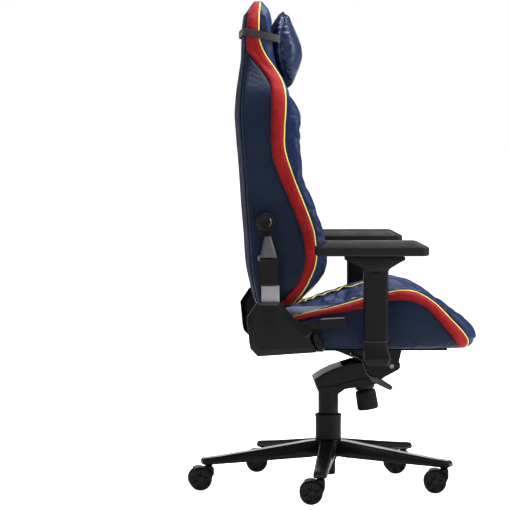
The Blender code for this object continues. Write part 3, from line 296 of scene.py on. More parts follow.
def laid_on(points, target, lift, direction=None):
    """Points moved onto a surface and lifted off it: straight along a direction, or to the nearest
    place of the surface."""
    guide = mesh_object("guide", (points, []))
    wrap = guide.modifiers.new("wrap", "SHRINKWRAP")
    wrap.target = target
    wrap.offset = lift
    wrap.wrap_mode = "ABOVE_SURFACE"
    if direction is not None:
        wrap.wrap_method = "PROJECT"
        axis = int(np.argmax(np.abs(direction)))
        for number, letter in enumerate("xyz"):
            setattr(wrap, f"use_project_{letter}", number == axis)
        wrap.use_positive_direction = direction[axis] > 0
        wrap.use_negative_direction = direction[axis] < 0
    bpy.context.view_layer.update()
    laid = coordinates(guide.evaluated_get(bpy.context.evaluated_depsgraph_get()).data)
    bpy.data.objects.remove(guide)
    return laid


def laid_sideways(points, side, target, lift):
    """Points moved straight inwards onto a side face; one that passes over it goes to the nearest
    place of the surface instead."""
    laid = laid_on(points, target, lift, (0, -side, 0))
    missed = np.abs(laid[:, 1]) > SIDE_START - 0.02
    if missed.any():
        laid[missed] = laid_on(points[missed] * (1, 0.4, 1), target, lift)
    return laid


def filled(made, held, pressure, cap, frames=20):
    """Fills a closed cover by cloth simulation under pressure, without gravity. Points where held
    is 1 stay, and no point ends further than cap from where it was."""
    rest = coordinates(made.data)
    group = made.vertex_groups.new(name="held")
    for index in np.flatnonzero(held > 0.02):
        group.add([int(index)], float(min(held[index], 1.0)), "REPLACE")
    cloth = made.modifiers.new("cloth", "CLOTH")
    settings = cloth.settings
    settings.quality = 4
    settings.mass = 0.4
    settings.tension_stiffness = settings.compression_stiffness = 25
    settings.shear_stiffness = 12
    settings.bending_stiffness = 1.5
    settings.vertex_group_mass = "held"
    settings.use_pressure = True
    settings.uniform_pressure_force = pressure
    settings.shrink_min = -0.03
    settings.effector_weights.gravity = 0
    cloth.collision_settings.use_collision = False
    for number in range(1, frames + 1):
        bpy.context.scene.frame_set(number)
    moved = coordinates(made.evaluated_get(bpy.context.evaluated_depsgraph_get()).data) - rest
    made.modifiers.clear()
    made.vertex_groups.clear()
    bpy.context.scene.frame_set(1)
    length = np.linalg.norm(moved, axis=1, keepdims=True)
    set_coordinates(made.data, rest + moved * np.minimum(1, cap / np.maximum(length, 1e-9)))


def refined(made):
    """One round of subdivision, kept in the mesh."""
    smooth = made.modifiers.new("smooth", "SUBSURF")
    smooth.levels = smooth.render_levels = 1
    settle(made)
    made.data.shade_smooth()


def shaped(made, marks):
    """Presses lines into a surface or raises them: each mark is (paths, width, height), a bell
    height * exp(-(distance / width) squared) along the surface's own direction."""
    points = coordinates(made.data)
    rise = np.zeros(len(points))
    for paths, width, height in marks:
        rise += height * np.exp(-((nearness(points, paths) / width) ** 2))
    set_coordinates(made.data, points + normals(made.data) * rise[:, None])


def record_on(made, name, values):
    """Keeps a number for each point of a mesh, for its finish to read."""
    attribute = made.data.attributes.new(name, "FLOAT", "POINT")
    attribute.data.foreach_set("value", np.asarray(values, np.float32))


def strip_uv(made, columns, length, width):
    """A UV map in metres over a grid of points with that many columns: U along, V across."""
    layer = made.data.uv_layers.new(name="strip")
    index = np.empty(len(made.data.loops), int)
    made.data.loops.foreach_get("vertex_index", index)
    rows = len(made.data.vertices) // columns
    along = np.minimum(index // columns / (rows - 1), 1) * length
    uv = np.stack([along, index % columns / (columns - 1) * width], axis=1)
    layer.data.foreach_set("uv", uv.ravel())


# ---- finishes ---------------------------------------------------------------------------------
class Finish:
    """A material built node by node: each call adds a node and returns its output."""

    def __init__(self, name):
        self.material = bpy.data.materials.new(name)
        self.material.use_nodes = True
        self.nodes = self.material.node_tree.nodes
        self.links = self.material.node_tree.links
        self.shader = self.nodes["Principled BSDF"]
        coordinate = self.nodes.new("ShaderNodeTexCoord")
        self.here, self.strip = coordinate.outputs["Object"], coordinate.outputs["UV"]

    def add(self, kind, inputs, **settings):
        """A node with its settings and inputs; an input is a number, a colour or another output."""
        node = self.nodes.new(kind)
        for key, value in settings.items():
            setattr(node, key, value)
        for key, value in inputs.items():
            if isinstance(value, bpy.types.NodeSocket):
                self.links.new(value, node.inputs[key])
            else:
                node.inputs[key].default_value = value
        return node.outputs

    def stretched(self, scale):
        """Object coordinates with their own scale along each axis."""
        return self.add("ShaderNodeMapping", {"Vector": self.here, "Scale": scale})["Vector"]

    def noise(self, scale, detail=4.0, at=None):
        """Soft clouds, scale to the metre."""
        inputs = {"Vector": at or self.here, "Scale": scale, "Detail": detail, "Roughness": 0.6}
        return self.add("ShaderNodeTexNoise", inputs)[0]

    def grain(self, scale, at=None, feature="DISTANCE_TO_EDGE"):
        """Cells like the pebbles of leather, scale to the metre."""
        return self.add("ShaderNodeTexVoronoi", {"Vector": at or self.here, "Scale": scale},
                        feature=feature)[0]

    def waves(self, scale, direction, at=None, distortion=0.0):
        """Even ridges across one direction."""
        inputs = {"Vector": at or self.here, "Scale": scale, "Distortion": distortion}
        return self.add("ShaderNodeTexWave", inputs, bands_direction=direction)[1]

    def ranged(self, value, low, high, to_low, to_high):
        """A value's range made another range, kept within it."""
        inputs = {"Value": value, "From Min": low, "From Max": high, "To Min": to_low, "To Max": to_high}
        return self.add("ShaderNodeMapRange", inputs)[0]

    def math(self, operation, first, second=0.0):
        """One sum of two numbers."""
        node = self.add("ShaderNodeMath", {0: first, 1: second}, operation=operation)
        return node[0]

    def mixed(self, share, first, second):
        """One colour fading to another as share goes from 0 to 1."""
        inputs = {0: share, 6: first, 7: second}
        return self.add("ShaderNodeMix", inputs, data_type="RGBA")[2]

    def number(self, name):
        """A number kept on the mesh for each point."""
        return self.add("ShaderNodeAttribute", {}, attribute_name=name)["Fac"]

    def bump(self, height, distance, strength=1.0, over=None):
        """Relief of a given height in metres, on top of earlier relief."""
        inputs = {"Height": height, "Distance": distance, "Strength": strength}
        if over is not None:
            inputs["Normal"] = over
        return self.add("ShaderNodeBump", inputs)["Normal"]

    def done(self, colour, roughness, relief=None, **fixed):
        """Joins everything to the shader; fixed values go on its sockets."""
        wanted = {"Base Color": colour, "Roughness": roughness, "Normal": relief}
        for key, value in wanted.items():
            if isinstance(value, bpy.types.NodeSocket):
                self.links.new(value, self.shader.inputs[key])
            elif value is not None:
                self.shader.inputs[key].default_value = value
        for key, value in fixed.items():
            self.shader.inputs[key.replace("_", " ")].default_value = value
        return self.material


def paint(red, green, blue):
    """A colour with its alpha."""
    return (red, green, blue, 1.0)


def leather(name, colour, deep, roughness=0.42, shine=0.5):
    """Coated leather: fine pebbles, faint pores, cloudy tone and gloss that varies in soft patches."""
    make = Finish(name)
    cells = make.grain(620)
    cloud = make.noise(9, 5)
    tone = make.mixed(make.ranged(cloud, 0.3, 0.7, 0, 1), deep, colour)
    pores = make.ranged(cells, 0.0, 0.16, 0.72, 1.0)
    tone = make.mixed(make.ranged(pores, 0.72, 1.0, 0.35, 0.0), tone, deep)
    polish = make.ranged(make.noise(26, 3), 0.3, 0.7, roughness - 0.06, roughness + 0.08)
    relief = make.bump(make.ranged(cells, 0.0, 0.2, 0, 1), 0.00018, 0.45)
    relief = make.bump(make.noise(60, 2), 0.0004, 0.2, relief)
    return make.done(tone, polish, relief, Specular_IOR_Level=shine)


def ribbed_cloth(name, colour, deep):
    """Woven band with fine cords across it every 3 mm, with a soft nap; painted shade darkens the troughs between
    the cords and both edges, where the band curves down into its seams.
    """
    make = Finish(name)
    split = make.add("ShaderNodeSeparateXYZ", {"Vector": make.strip})
    cords = make.math("SINE", make.math("MULTIPLY", split["X"], 2 * math.pi / 0.003))
    threads = make.math("SINE", make.math("MULTIPLY", split["Y"], 2 * math.pi / 0.0011))
    # painted shade: a mask that darkens the band towards both edges, where it curves down into its seams
    edge = make.math("ABSOLUTE", make.math("SUBTRACT", split["Y"], 0.5))
    edge = make.ranged(edge, 0.30, 0.5, 0.0, 0.75)
    tone = make.mixed(make.ranged(make.noise(22, 4), 0.3, 0.7, 0.0, 0.35), colour, deep)
    # painted shade: the troughs between the cords are darkened
    tone = make.mixed(make.ranged(cords, -1, 1, 0.28, 0.0), tone, deep)
    tone = make.mixed(edge, tone, deep)
    relief = make.bump(cords, 0.0003, 0.6)
    relief = make.bump(threads, 0.0001, 0.35, relief)
    rough = make.ranged(make.noise(60, 2), 0.3, 0.7, 0.62, 0.8)
    return make.done(tone, rough, relief, Sheen_Weight=0.15, Sheen_Roughness=0.5, Specular_IOR_Level=0.35)


def piping_cord(name, colour, shade):
    """Bright cord under a thin coated skin: a faint twist and a slightly soiled tone."""
    make = Finish(name)
    twist = make.waves(260, "Z", distortion=1.0)
    tone = make.mixed(make.ranged(make.noise(35, 3), 0.35, 0.75, 0.0, 0.5), colour, shade)
    relief = make.bump(twist, 0.0002, 0.4)
    return make.done(tone, make.ranged(make.noise(90, 2), 0.3, 0.7, 0.36, 0.5), relief)


def webbing(name, colour, deep):
    """Elastic webbing: ribs along its length, with painted shade darkening the troughs between them, and a fine
    weft across them.
    """
    make = Finish(name)
    ribs = make.waves(95, "Z")
    weft = make.waves(420, "DIAGONAL")
    # painted shade: the webbing is darkened in the troughs between its ribs
    tone = make.mixed(make.ranged(ribs, 0, 1, 0, 0.8), deep, colour)
    relief = make.bump(ribs, 0.0006, 0.7)
    relief = make.bump(weft, 0.0002, 0.5, relief)
    return make.done(tone, make.ranged(make.noise(50, 2), 0.3, 0.7, 0.75, 0.9), relief, Sheen_Weight=0.2)


def moulded(name, colour, worn, roughness=0.45, texture=900):
    """Moulded plastic: a fine spark-eroded texture, faint flow marks and paler rubbed places."""
    make = Finish(name)
    rubbed = make.ranged(make.noise(14, 6), 0.52, 0.74, 0.0, 0.45)
    tone = make.mixed(rubbed, colour, worn)
    rough = make.ranged(make.noise(32, 4), 0.3, 0.7, roughness - 0.07, roughness + 0.09)
    relief = make.bump(make.noise(texture, 2), 0.00012, 0.55)
    return make.done(tone, rough, relief, Specular_IOR_Level=0.36)


def coated_metal(name, colour, worn, roughness=0.3):
    """Powder-coated metal: slight orange-peel relief and a slightly uneven tone and gloss."""
    make = Finish(name)
    tone = make.mixed(make.ranged(make.noise(7, 3), 0.45, 0.75, 0, 0.4), colour, worn)
    rough = make.ranged(make.noise(9, 3), 0.3, 0.7, roughness - 0.03, roughness + 0.05)
    relief = make.bump(make.noise(330, 2), 0.00006, 0.2)
    return make.done(tone, rough, relief, Metallic=0.2, Specular_IOR_Level=0.5)


def bright_metal(name, colour, dark, roughness=0.32):
    """Brushed steel: long fine scratches one way and a slightly uneven tone."""
    make = Finish(name)
    hair = make.noise(420, 3, make.stretched((1.0, 1.0, 0.06)))
    tone = make.mixed(make.ranged(make.noise(30, 4), 0.3, 0.7, 0, 0.5), colour, dark)
    rough = make.ranged(hair, 0.3, 0.7, roughness - 0.08, roughness + 0.12)
    relief = make.bump(hair, 0.00006, 0.5)
    return make.done(tone, rough, relief, Metallic=0.9, Anisotropic=0.3)


def soft_rubber(name, colour, worn):
    """Skinned foam of the armrest tops: fine cross-hatched texture, smoother in soft random patches."""
    make = Finish(name)
    hatch = make.math("MULTIPLY", make.waves(300, "X"), make.waves(300, "Y"))
    tone = make.mixed(make.ranged(make.noise(11, 5), 0.5, 0.75, 0.0, 0.5), colour, worn)
    rough = make.ranged(make.noise(16, 4), 0.3, 0.7, 0.42, 0.6)
    relief = make.bump(hatch, 0.00018, 0.5)
    return make.done(tone, rough, relief, Specular_IOR_Level=0.45)


def lining(name, colour, pale):
    """Thin non-woven dust cloth with a dotted press pattern."""
    make = Finish(name)
    dots = make.grain(420, feature="F1")
    tone = make.mixed(make.ranged(dots, 0, 0.6, 0.5, 0), colour, pale)
    relief = make.bump(dots, 0.0002, 0.6)
    return make.done(tone, make.ranged(make.noise(40, 2), 0.3, 0.7, 0.8, 0.95), relief)


NAVY = leather("navy_rear_leather", paint(0.0125, 0.026, 0.066), paint(0.008, 0.017, 0.046), 0.60, 0.08)
PILLOW_LEATHER = leather("pillow_leather", paint(0.024, 0.046, 0.125), paint(0.014, 0.028, 0.080), 0.33)
RED = ribbed_cloth("red_ribbed_band", paint(0.44, 0.010, 0.014), paint(0.16, 0.004, 0.007))
YELLOW = piping_cord("yellow_piping", paint(0.93, 0.80, 0.22), paint(0.80, 0.62, 0.16))
DARK_PIPING = piping_cord("navy_piping", paint(0.030, 0.055, 0.13), paint(0.018, 0.035, 0.09))
STRAP = webbing("strap_webbing", paint(0.075, 0.078, 0.078), paint(0.035, 0.037, 0.037))
BLACK = moulded("black_moulding", paint(0.008, 0.008, 0.010), paint(0.020, 0.020, 0.023))
CHARCOAL = moulded("charcoal_moulding", paint(0.013, 0.013, 0.015), paint(0.026, 0.026, 0.029), 0.36)
GREY = moulded("grey_moulding", paint(0.125, 0.121, 0.128), paint(0.17, 0.166, 0.172), 0.42)
SILVER = bright_metal("silver_plate", paint(0.56, 0.53, 0.57), paint(0.42, 0.40, 0.43), 0.36)
STEEL = bright_metal("bare_steel", paint(0.42, 0.42, 0.43), paint(0.25, 0.25, 0.26))
SATIN_STEEL = bright_metal("satin_lever_steel", paint(0.11, 0.11, 0.12), paint(0.05, 0.05, 0.055), 0.28)
BLACK_STEEL = coated_metal("black_coated_steel", paint(0.009, 0.009, 0.011), paint(0.018, 0.018, 0.020), 0.42)
LEG = coated_metal("leg_gloss_black", paint(0.010, 0.010, 0.012), paint(0.016, 0.016, 0.018), 0.26)
WHEEL = moulded("wheel_nylon", paint(0.011, 0.011, 0.012), paint(0.024, 0.024, 0.026), 0.36)
TREAD = moulded("wheel_tread", paint(0.013, 0.013, 0.014), paint(0.028, 0.028, 0.030), 0.55, 500)
ARM_TOP = soft_rubber("armrest_skin", paint(0.012, 0.012, 0.014), paint(0.024, 0.024, 0.027))
DUST_CLOTH = lining("dust_cloth", paint(0.012, 0.012, 0.013), paint(0.03, 0.03, 0.032))
SLOT_FINISH = {
    "side_leather": NAVY, "black_metal": BLACK_STEEL, "leg_metal": LEG, "steel": STEEL,
    "black_plastic": BLACK, "wheel_plastic": WHEEL, "grey_plastic": GREY, "pad_rubber": ARM_TOP,
    "black_fabric": DUST_CLOTH, "strap_webbing": STRAP,
}


NODE_FINISH = {
    "height_lever": SATIN_STEEL, "arm_button_right": CHARCOAL, "arm_button_left": CHARCOAL,
    "back_bracket_right": BLACK_STEEL, "back_bracket_left": BLACK_STEEL,
    "recliner_plate_right": BLACK_STEEL, "recliner_plate_left": BLACK_STEEL,
}


def finish_frame_nodes():
    """Gives every node of the frame the finish of its material slot."""
    for part in frame["record"]["subparts"]:
        node = frame["nodes"][part["node"]]
        node.data.materials.clear()
        node.data.materials.append(NODE_FINISH.get(part["node"], SLOT_FINISH[part["material_slot"]]))
        node.data.set_sharp_from_angle(angle=math.radians(32))


# ---- backrest ---------------------------------------------------------------------------------
BACK_STATIONS = (  # height, rear x, wing front x, middle front x, half width
    (0.496, -0.198, -0.112, -0.128, 0.190),
    (0.508, -0.201, -0.092, -0.118, 0.222),
    (0.544, -0.207, -0.058, -0.100, 0.242),
    (0.575, -0.214, -0.026, -0.090, 0.245),
    (0.610, -0.218, -0.013, -0.085, 0.245),
    (0.670, -0.221, -0.015, -0.088, 0.245),
    (0.752, -0.228, -0.041, -0.100, 0.247),
    (0.835, -0.233, -0.076, -0.114, 0.253),
    (0.935, -0.241, -0.084, -0.126, 0.262),
    (1.002, -0.246, -0.083, -0.138, 0.262),
    (1.060, -0.242, -0.112, -0.149, 0.246),
    (1.105, -0.236, -0.135, -0.160, 0.212),
    (1.150, -0.230, -0.152, -0.176, 0.182),
    (1.240, -0.229, -0.152, -0.176, 0.178),
    (1.275, -0.224, -0.161, -0.178, 0.160),
    (1.290, -0.216, -0.169, -0.179, 0.140),
    (1.296, -0.207, -0.177, -0.181, 0.124),
)
BACK_PIPING = (  # x, z of the yellow cord down the side, from the top
    (-0.189, 1.294), (-0.192, 1.277), (-0.194, 1.250), (-0.195, 1.221), (-0.194, 1.200), (-0.187, 1.175),
    (-0.174, 1.150), (-0.158, 1.127), (-0.144, 1.106), (-0.132, 1.081), (-0.129, 1.064), (-0.127, 1.044),
    (-0.128, 1.009), (-0.131, 0.974), (-0.132, 0.936), (-0.131, 0.914), (-0.123, 0.884), (-0.109, 0.844),
    (-0.093, 0.803), (-0.079, 0.768), (-0.065, 0.733), (-0.053, 0.696), (-0.049, 0.664), (-0.046, 0.633),
    (-0.051, 0.604), (-0.065, 0.572), (-0.078, 0.546), (-0.097, 0.520), (-0.110, 0.503),
)
BAND_REAR = (  # x, z of the red band's rear edge, from the top
    (-0.213, 1.293), (-0.230, 1.277), (-0.238, 1.250), (-0.238, 1.225), (-0.237, 1.197), (-0.229, 1.174),
    (-0.211, 1.149), (-0.195, 1.128), (-0.181, 1.110), (-0.167, 1.087), (-0.164, 1.076), (-0.164, 1.044),
    (-0.165, 0.998), (-0.166, 0.936), (-0.162, 0.895), (-0.153, 0.865), (-0.135, 0.821), (-0.116, 0.780),
    (-0.100, 0.738), (-0.086, 0.706), (-0.078, 0.669), (-0.074, 0.633), (-0.077, 0.610), (-0.086, 0.577),
    (-0.105, 0.549), (-0.125, 0.526), (-0.140, 0.508),
)
WING_PIPING = (0.026, 0.510, 1.060)  # distance inward of the edge, lowest and highest z
BACK_SIDES = (20, 4, 4, 22, 4, 4, 4, 6, 5, 16)  # points along each side of half a section


def back_line(z):
    """Rear, wing front and middle front x and the half width of the back at given heights."""
    return stations(BACK_STATIONS, z)


def back_rings():
    """Sections of the backrest in plan, from the bottom up: a flat rear, two wings and a dished
    middle between them; the first and last few shrink towards their middle as a rounded end."""
    z = np.linspace(0.496, 1.296, 128)
    rear, wing, middle, half = stations(BACK_STATIONS, z, 12)
    rear, wing, middle, half = rear + 0.002, wing - 0.002, middle - 0.002, half - 0.002
    s = np.minimum(0.010, 0.2 * (wing - rear))
    zero = np.zeros_like(z)
    corners = [(rear, zero), (rear, half - 0.010), (rear + 0.3 * s, half - 0.3 * s), (rear + s, half),
               (wing - 1.8 * s, half), (wing - 0.8 * s, half - s), (wing, half - 0.028),
               (wing - 0.4 * s, half - 0.050), (middle + 0.3 * (wing - middle), half - 0.080),
               (middle, half - 0.105), (middle, zero)]
    other = [(x, -y) for x, y in reversed(corners[1:-1])]
    polygon = np.stack([np.stack([x, y, z], axis=-1) for x, y in corners + other], axis=1)
    weights = ring_weights(BACK_SIDES + BACK_SIDES[::-1], 6)
    rings = np.einsum("pc,rcd->rpd", weights, polygon)
    return rounded_ends(place(rings), 2, 0.004)


def rounded_ends(rings, axis, rise):
    """The stack with five shrinking rings added at each end, on a quarter circle of height rise."""
    turn = np.linspace(0, math.pi / 2, 7)[1:-1]
    ends = []
    for ring, way in ((rings[0], -1), (rings[-1], 1)):
        middle = ring.mean(0)
        added = middle + (ring - middle) * np.cos(turn)[:, None, None] ** 0.7
        added[:, :, axis] += way * rise * np.sin(turn)[:, None]
        ends.append(added)
    return np.concatenate([ends[0][::-1], rings, ends[1]])


def side_path(line, side, target, lift, count=150, soften=4):
    """A line drawn in side view, laid on the cushion's side face."""
    path = flowing(line, count, soften)
    points = place(np.stack([path[:, 0], np.full(count, side * SIDE_START), path[:, 1]], axis=1))
    return laid_sideways(points, side, target, lift)


def wing_path(side, inward, low, high, count=110):
    """A line along a wing's crest, at a distance inward of the back's edge."""
    z = np.linspace(low, high, count)
    _rear, wing, _middle, half = stations(BACK_STATIONS, z, 4)
    share = np.clip((z - low) / 0.22, 0, 1)
    points = np.stack([wing + 0.006, side * (half - inward - 0.040 * share ** 2), z], axis=1)
    return place(points)


def backrest():
    """The padded back: a filled cover held at its seams, then seams pressed in, the red bands and
    the yellow cords laid on it."""
    cover = mesh_object("back_padding", capped(back_rings()))
    outer = {side: side_path(BACK_PIPING, side, cover, 0.0) for _, side in SIDES}
    rear_edge = {side: side_path(BAND_REAR, side, cover, 0.0) for _, side in SIDES}
    inner = {side: laid_on(wing_path(side, *WING_PIPING), cover, 0.0) for _, side in SIDES}
    seams = [*outer.values(), *rear_edge.values(), *inner.values()]
    waist = [cross_seam(cover, z) for z in (0.640, 0.735, 1.105)]
    points = coordinates(cover.data)
    held = np.exp(-((nearness(points, seams + waist) / 0.006) ** 2))
    held = np.maximum(held, (points[:, 2] < 0.505) | (points[:, 2] > 1.285))
    held = np.maximum(held, 0.8 * (points[:, 0] < back_line(points[:, 2])[0] + COLUMN_X + 0.010))
    held = np.maximum(held, 0.9 * (back_front(points, rear_edge) < -0.004))
    filled(cover, held, 3.5, 0.007)
    refined(cover)
    folds = [place(p) for p in WAIST_FOLDS] + [place(p * (1, -1, 1)) for p in WAIST_FOLDS]
    shaped(cover, [(seams, 0.0045, -0.003), (waist, 0.005, -0.0035), (folds, 0.009, -0.0022)])
    # the front mask: where the cover's leather is painted lighter as painted light
    record_on(cover, "front", back_front(coordinates(cover.data), outer))
    dress(cover, "back", NAVY_PAINTED_LIT_FRONT, "back_cushion")
    trimmed("back", cover, (BAND_REAR, BACK_PIPING), 0.0012, 0.0025)
    for name, side in SIDES:
        cord = flowing(laid_on(wing_path(side, *WING_PIPING), cover, 0.0010), 110, 7)
        piece(f"wing_piping_{name}", "back", cord_along(cord, 0.0021, (0, 1, 0)), YELLOW)


WAIST_FOLDS = [np.array(p) for p in (
    [(-0.110, -0.060, 0.560), (-0.100, -0.110, 0.585), (-0.080, -0.150, 0.600)],
    [(-0.105, -0.020, 0.585), (-0.095, -0.080, 0.610), (-0.080, -0.135, 0.640)],
)]


def cross_seam(cover, z):
    """A sewn line across the middle of the front, dipping slightly at its centre."""
    y = np.linspace(-0.165, 0.165, 40)
    height = z - 0.012 * np.cos(y / 0.165 * math.pi / 2)
    return laid_on(place(np.stack([np.full(40, 0.1), y, height], axis=1)), cover, 0.0, (-1, 0, 0))


def back_front(points, outer):
    """Positive over the whole front and negative behind the given line on the sides, in metres."""
    path = outer[-1]
    order = np.argsort(path[:, 2])
    ahead = points[:, 0] - np.interp(points[:, 2], path[order, 2], path[order, 0])
    rear, _wing, _middle, half = back_line(points[:, 2])
    within = (np.abs(points[:, 1]) < half - 0.016) & (points[:, 0] > rear + COLUMN_X + 0.030)
    return np.where(within, 0.01, ahead)


def rear_limit(z):
    """How far back a line on the side face may go: just ahead of the back's rounded rear corner."""
    return np.where(z < 0.50, -1.0, back_line(z.ravel())[0].reshape(z.shape) + 0.005)


def red_band(name, rear, front, side, target):
    """A quilted strip between two lines of the side view: straight across from one to the other,
    laid on the side and raised as 1 - (2 v - 1)^4 across it, with its edges tucked under."""
    rows, columns = 170, 14
    first, last = flowing(rear, rows, 4), flowing(front, rows, 4)
    v = np.linspace(0, 1, columns)
    flat = first[:, None] * (1 - v)[None, :, None] + last[:, None] * v[None, :, None]
    flat[..., 0] = np.maximum(flat[..., 0], rear_limit(flat[..., 1]))
    points = np.stack([flat[..., 0], np.full(flat.shape[:2], side * SIDE_START), flat[..., 1]], axis=-1)
    laid = laid_sideways(place(points.reshape(-1, 3)), side, target, 0.0).reshape(rows, columns, 3)
    raised = 0.0042 * (1 - (2 * v - 1) ** 4) - 0.0008
    laid[..., 1] += side * raised[None, :]
    band = mesh_object(name, (laid.reshape(-1, 3), grid_faces(rows, columns, False).tolist()))
    strip_uv(band, columns, 0.95, 1.0)
    if side > 0:
        band.data.flip_normals()
    band.data.shade_smooth()
    wall = band.modifiers.new("wall", "SOLIDIFY")
    wall.thickness = 0.0016
    wall.offset = -1.0
    return band


def trimmed(part, cover, lines, lift, gauge):
    """The red band and the yellow cord on both sides of a cushion. lines are the band's other edge
    and the cord's own line."""
    for name, side in SIDES:
        band = red_band(f"{part}_band_{name}", *lines, side, cover)
        dress(band, part, RED)
        cord = side_path(lines[1], side, cover, lift)
        piece(f"{part}_piping_{name}", part, cord_along(cord, gauge, (0, 1, 0)), YELLOW)


def navy_with_painted_lit_front(name):
    """Side leather behind the cord and, ahead of it, the same navy leather painted lighter on the front as painted
    light.
    """
    make = Finish(name)
    front = make.ranged(make.number("front"), -0.0005, 0.0005, 0, 1)
    cells = make.grain(620)
    cloud = make.ranged(make.noise(9, 5), 0.3, 0.7, 0, 1)
    side_tone = make.mixed(cloud, paint(0.008, 0.017, 0.046), paint(0.0125, 0.026, 0.066))
    # painted light: the front's tone is a lighter, lit copy of the side's navy leather
    painted_lit_front_tone = make.mixed(cloud, paint(0.016, 0.034, 0.100), paint(0.024, 0.050, 0.140))
    tone = make.mixed(front, side_tone, painted_lit_front_tone)
    tone = make.mixed(make.ranged(cells, 0.0, 0.16, 0.3, 0.0), tone, paint(0.010, 0.020, 0.055))
    polish = make.ranged(make.noise(26, 3), 0.3, 0.7, 0.36, 0.50)
    relief = make.bump(make.ranged(cells, 0.0, 0.2, 0, 1), 0.00018, 0.45)
    relief = make.bump(make.noise(60, 2), 0.0004, 0.2, relief)
    return make.done(tone, polish, relief, Specular_IOR_Level=0.3)


# the navy leather of the back and seat, with painted light: the front is painted as a lighter copy of the side's
# leather
NAVY_PAINTED_LIT_FRONT = navy_with_painted_lit_front("navy_two_tone_leather")


def rear_cover():
    """The leather panel over the steel frame: a shallow pillow shape on the flat rear face,
    x = rear - swell * (1 - u^6) * (1 - v^6), with a stitched groove inside its edge."""
    rows, columns = 120, 70
    z = np.linspace(0.512, 1.270, rows)
    rear, _wing, _middle, half = stations(BACK_STATIONS, z, 4)
    u = np.linspace(-1, 1, columns)
    v = np.linspace(-1, 1, rows)
    swell = 0.0035 * (1 - np.abs(u)[None] ** 6) * (1 - np.abs(v)[:, None] ** 6)
    groove = np.exp(-(((1 - np.abs(u))[None] * (half - 0.022)[:, None] - 0.012) / 0.003) ** 2) * 0.0016
    x = rear[:, None] + 0.0005 - swell + groove
    y = u[None] * (half - 0.022)[:, None]
    outer = np.stack([x, y, np.repeat(z[:, None], columns, 1)], axis=-1)
    panel = mesh_object("rear_cover", (place(outer.reshape(-1, 3)), grid_faces(rows, columns,
            False).tolist()))
    if normals(panel.data)[:, 0].mean() > 0:
        panel.data.flip_normals()
    panel.data.shade_smooth()
    wall = panel.modifiers.new("wall", "SOLIDIFY")
    wall.thickness = 0.005
    wall.offset = -1.0
    dress(panel, "back", NAVY, "back_rear_panel")


# ---- seat -------------------------------------------------------------------------------------
SEAT_STATIONS = (  # x, bolster crown z, well z, half width, underside z
    (-0.188, 0.466, 0.462, 0.225, 0.392),
    (-0.170, 0.472, 0.468, 0.246, 0.388),
    (-0.060, 0.490, 0.471, 0.256, 0.388),
    (-0.017, 0.506, 0.474, 0.259, 0.388),
    (0.050, 0.528, 0.478, 0.262, 0.388),
    (0.120, 0.550, 0.484, 0.262, 0.388),
    (0.185, 0.560, 0.490, 0.262, 0.388),
    (0.240, 0.546, 0.491, 0.259, 0.388),
    (0.290, 0.515, 0.488, 0.252, 0.388),
    (0.327, 0.484, 0.478, 0.244, 0.388),
    (0.352, 0.465, 0.463, 0.230, 0.388),
    (0.364, 0.450, 0.449, 0.218, 0.392),
    (0.370, 0.436, 0.435, 0.208, 0.402),
)
SEAT_PIPING = (  # x, z from the rear
    (-0.140, 0.466), (-0.060, 0.486), (-0.011, 0.498), (0.031, 0.510), (0.071, 0.522), (0.141, 0.539),
    (0.167, 0.544), (0.195, 0.544), (0.216, 0.539), (0.240, 0.527), (0.265, 0.509), (0.286, 0.488),
    (0.312, 0.461), (0.336, 0.436), (0.352, 0.414), (0.353, 0.402), (0.348, 0.393),
)
SEAT_BAND_LOW = (  # x, z from the rear
    (-0.140, 0.452), (-0.063, 0.474), (-0.004, 0.485), (0.031, 0.490), (0.072, 0.498), (0.140, 0.519),
    (0.166, 0.521), (0.198, 0.519), (0.222, 0.510), (0.243, 0.498), (0.267, 0.472), (0.285, 0.451),
    (0.309, 0.424), (0.326, 0.399), (0.329, 0.393),
)
SEAT_SIDES = (14, 5, 6, 6, 5, 5, 6, 6, 16)  # points along each side of half a section


def seat_rings():
    """Sections across the seat, from the rear forward: a flat underside, a bolster on each side
    and the well between them."""
    x = np.linspace(-0.188, 0.370, 116)
    crown, well, half, low = stations(SEAT_STATIONS, x, 8)
    crown, half = crown - 0.003, half - 0.002
    zero = np.zeros_like(x)
    corners = [(zero, low), (half - 0.022, low), (half - 0.004, low + 0.024), (half, (low + crown) / 2),
               (half - 0.004, crown - 0.018), (half - 0.022, crown), (half - 0.046, crown - 0.002),
               (half - 0.078, well + 0.35 * (crown - well)), (half - 0.105, well), (zero, well)]
    other = [(-y, z) for y, z in reversed(corners[1:-1])]
    polygon = np.stack([np.stack([x, y, z], axis=-1) for y, z in corners + other], axis=1)
    weights = ring_weights(SEAT_SIDES + SEAT_SIDES[::-1], 6)
    return rounded_ends(place(np.einsum("pc,rcd->rpd", weights, polygon)), 0, 0.003)


def bolster_path(side, inward, rear, front, count=90):
    """A line along a seat bolster's crest, at a distance inward of the seat's edge."""
    x = np.linspace(rear, front, count)
    crown, _well, half, _low = stations(SEAT_STATIONS, x, 4)
    return place(np.stack([x, side * (half - inward), crown + 0.01], axis=1))


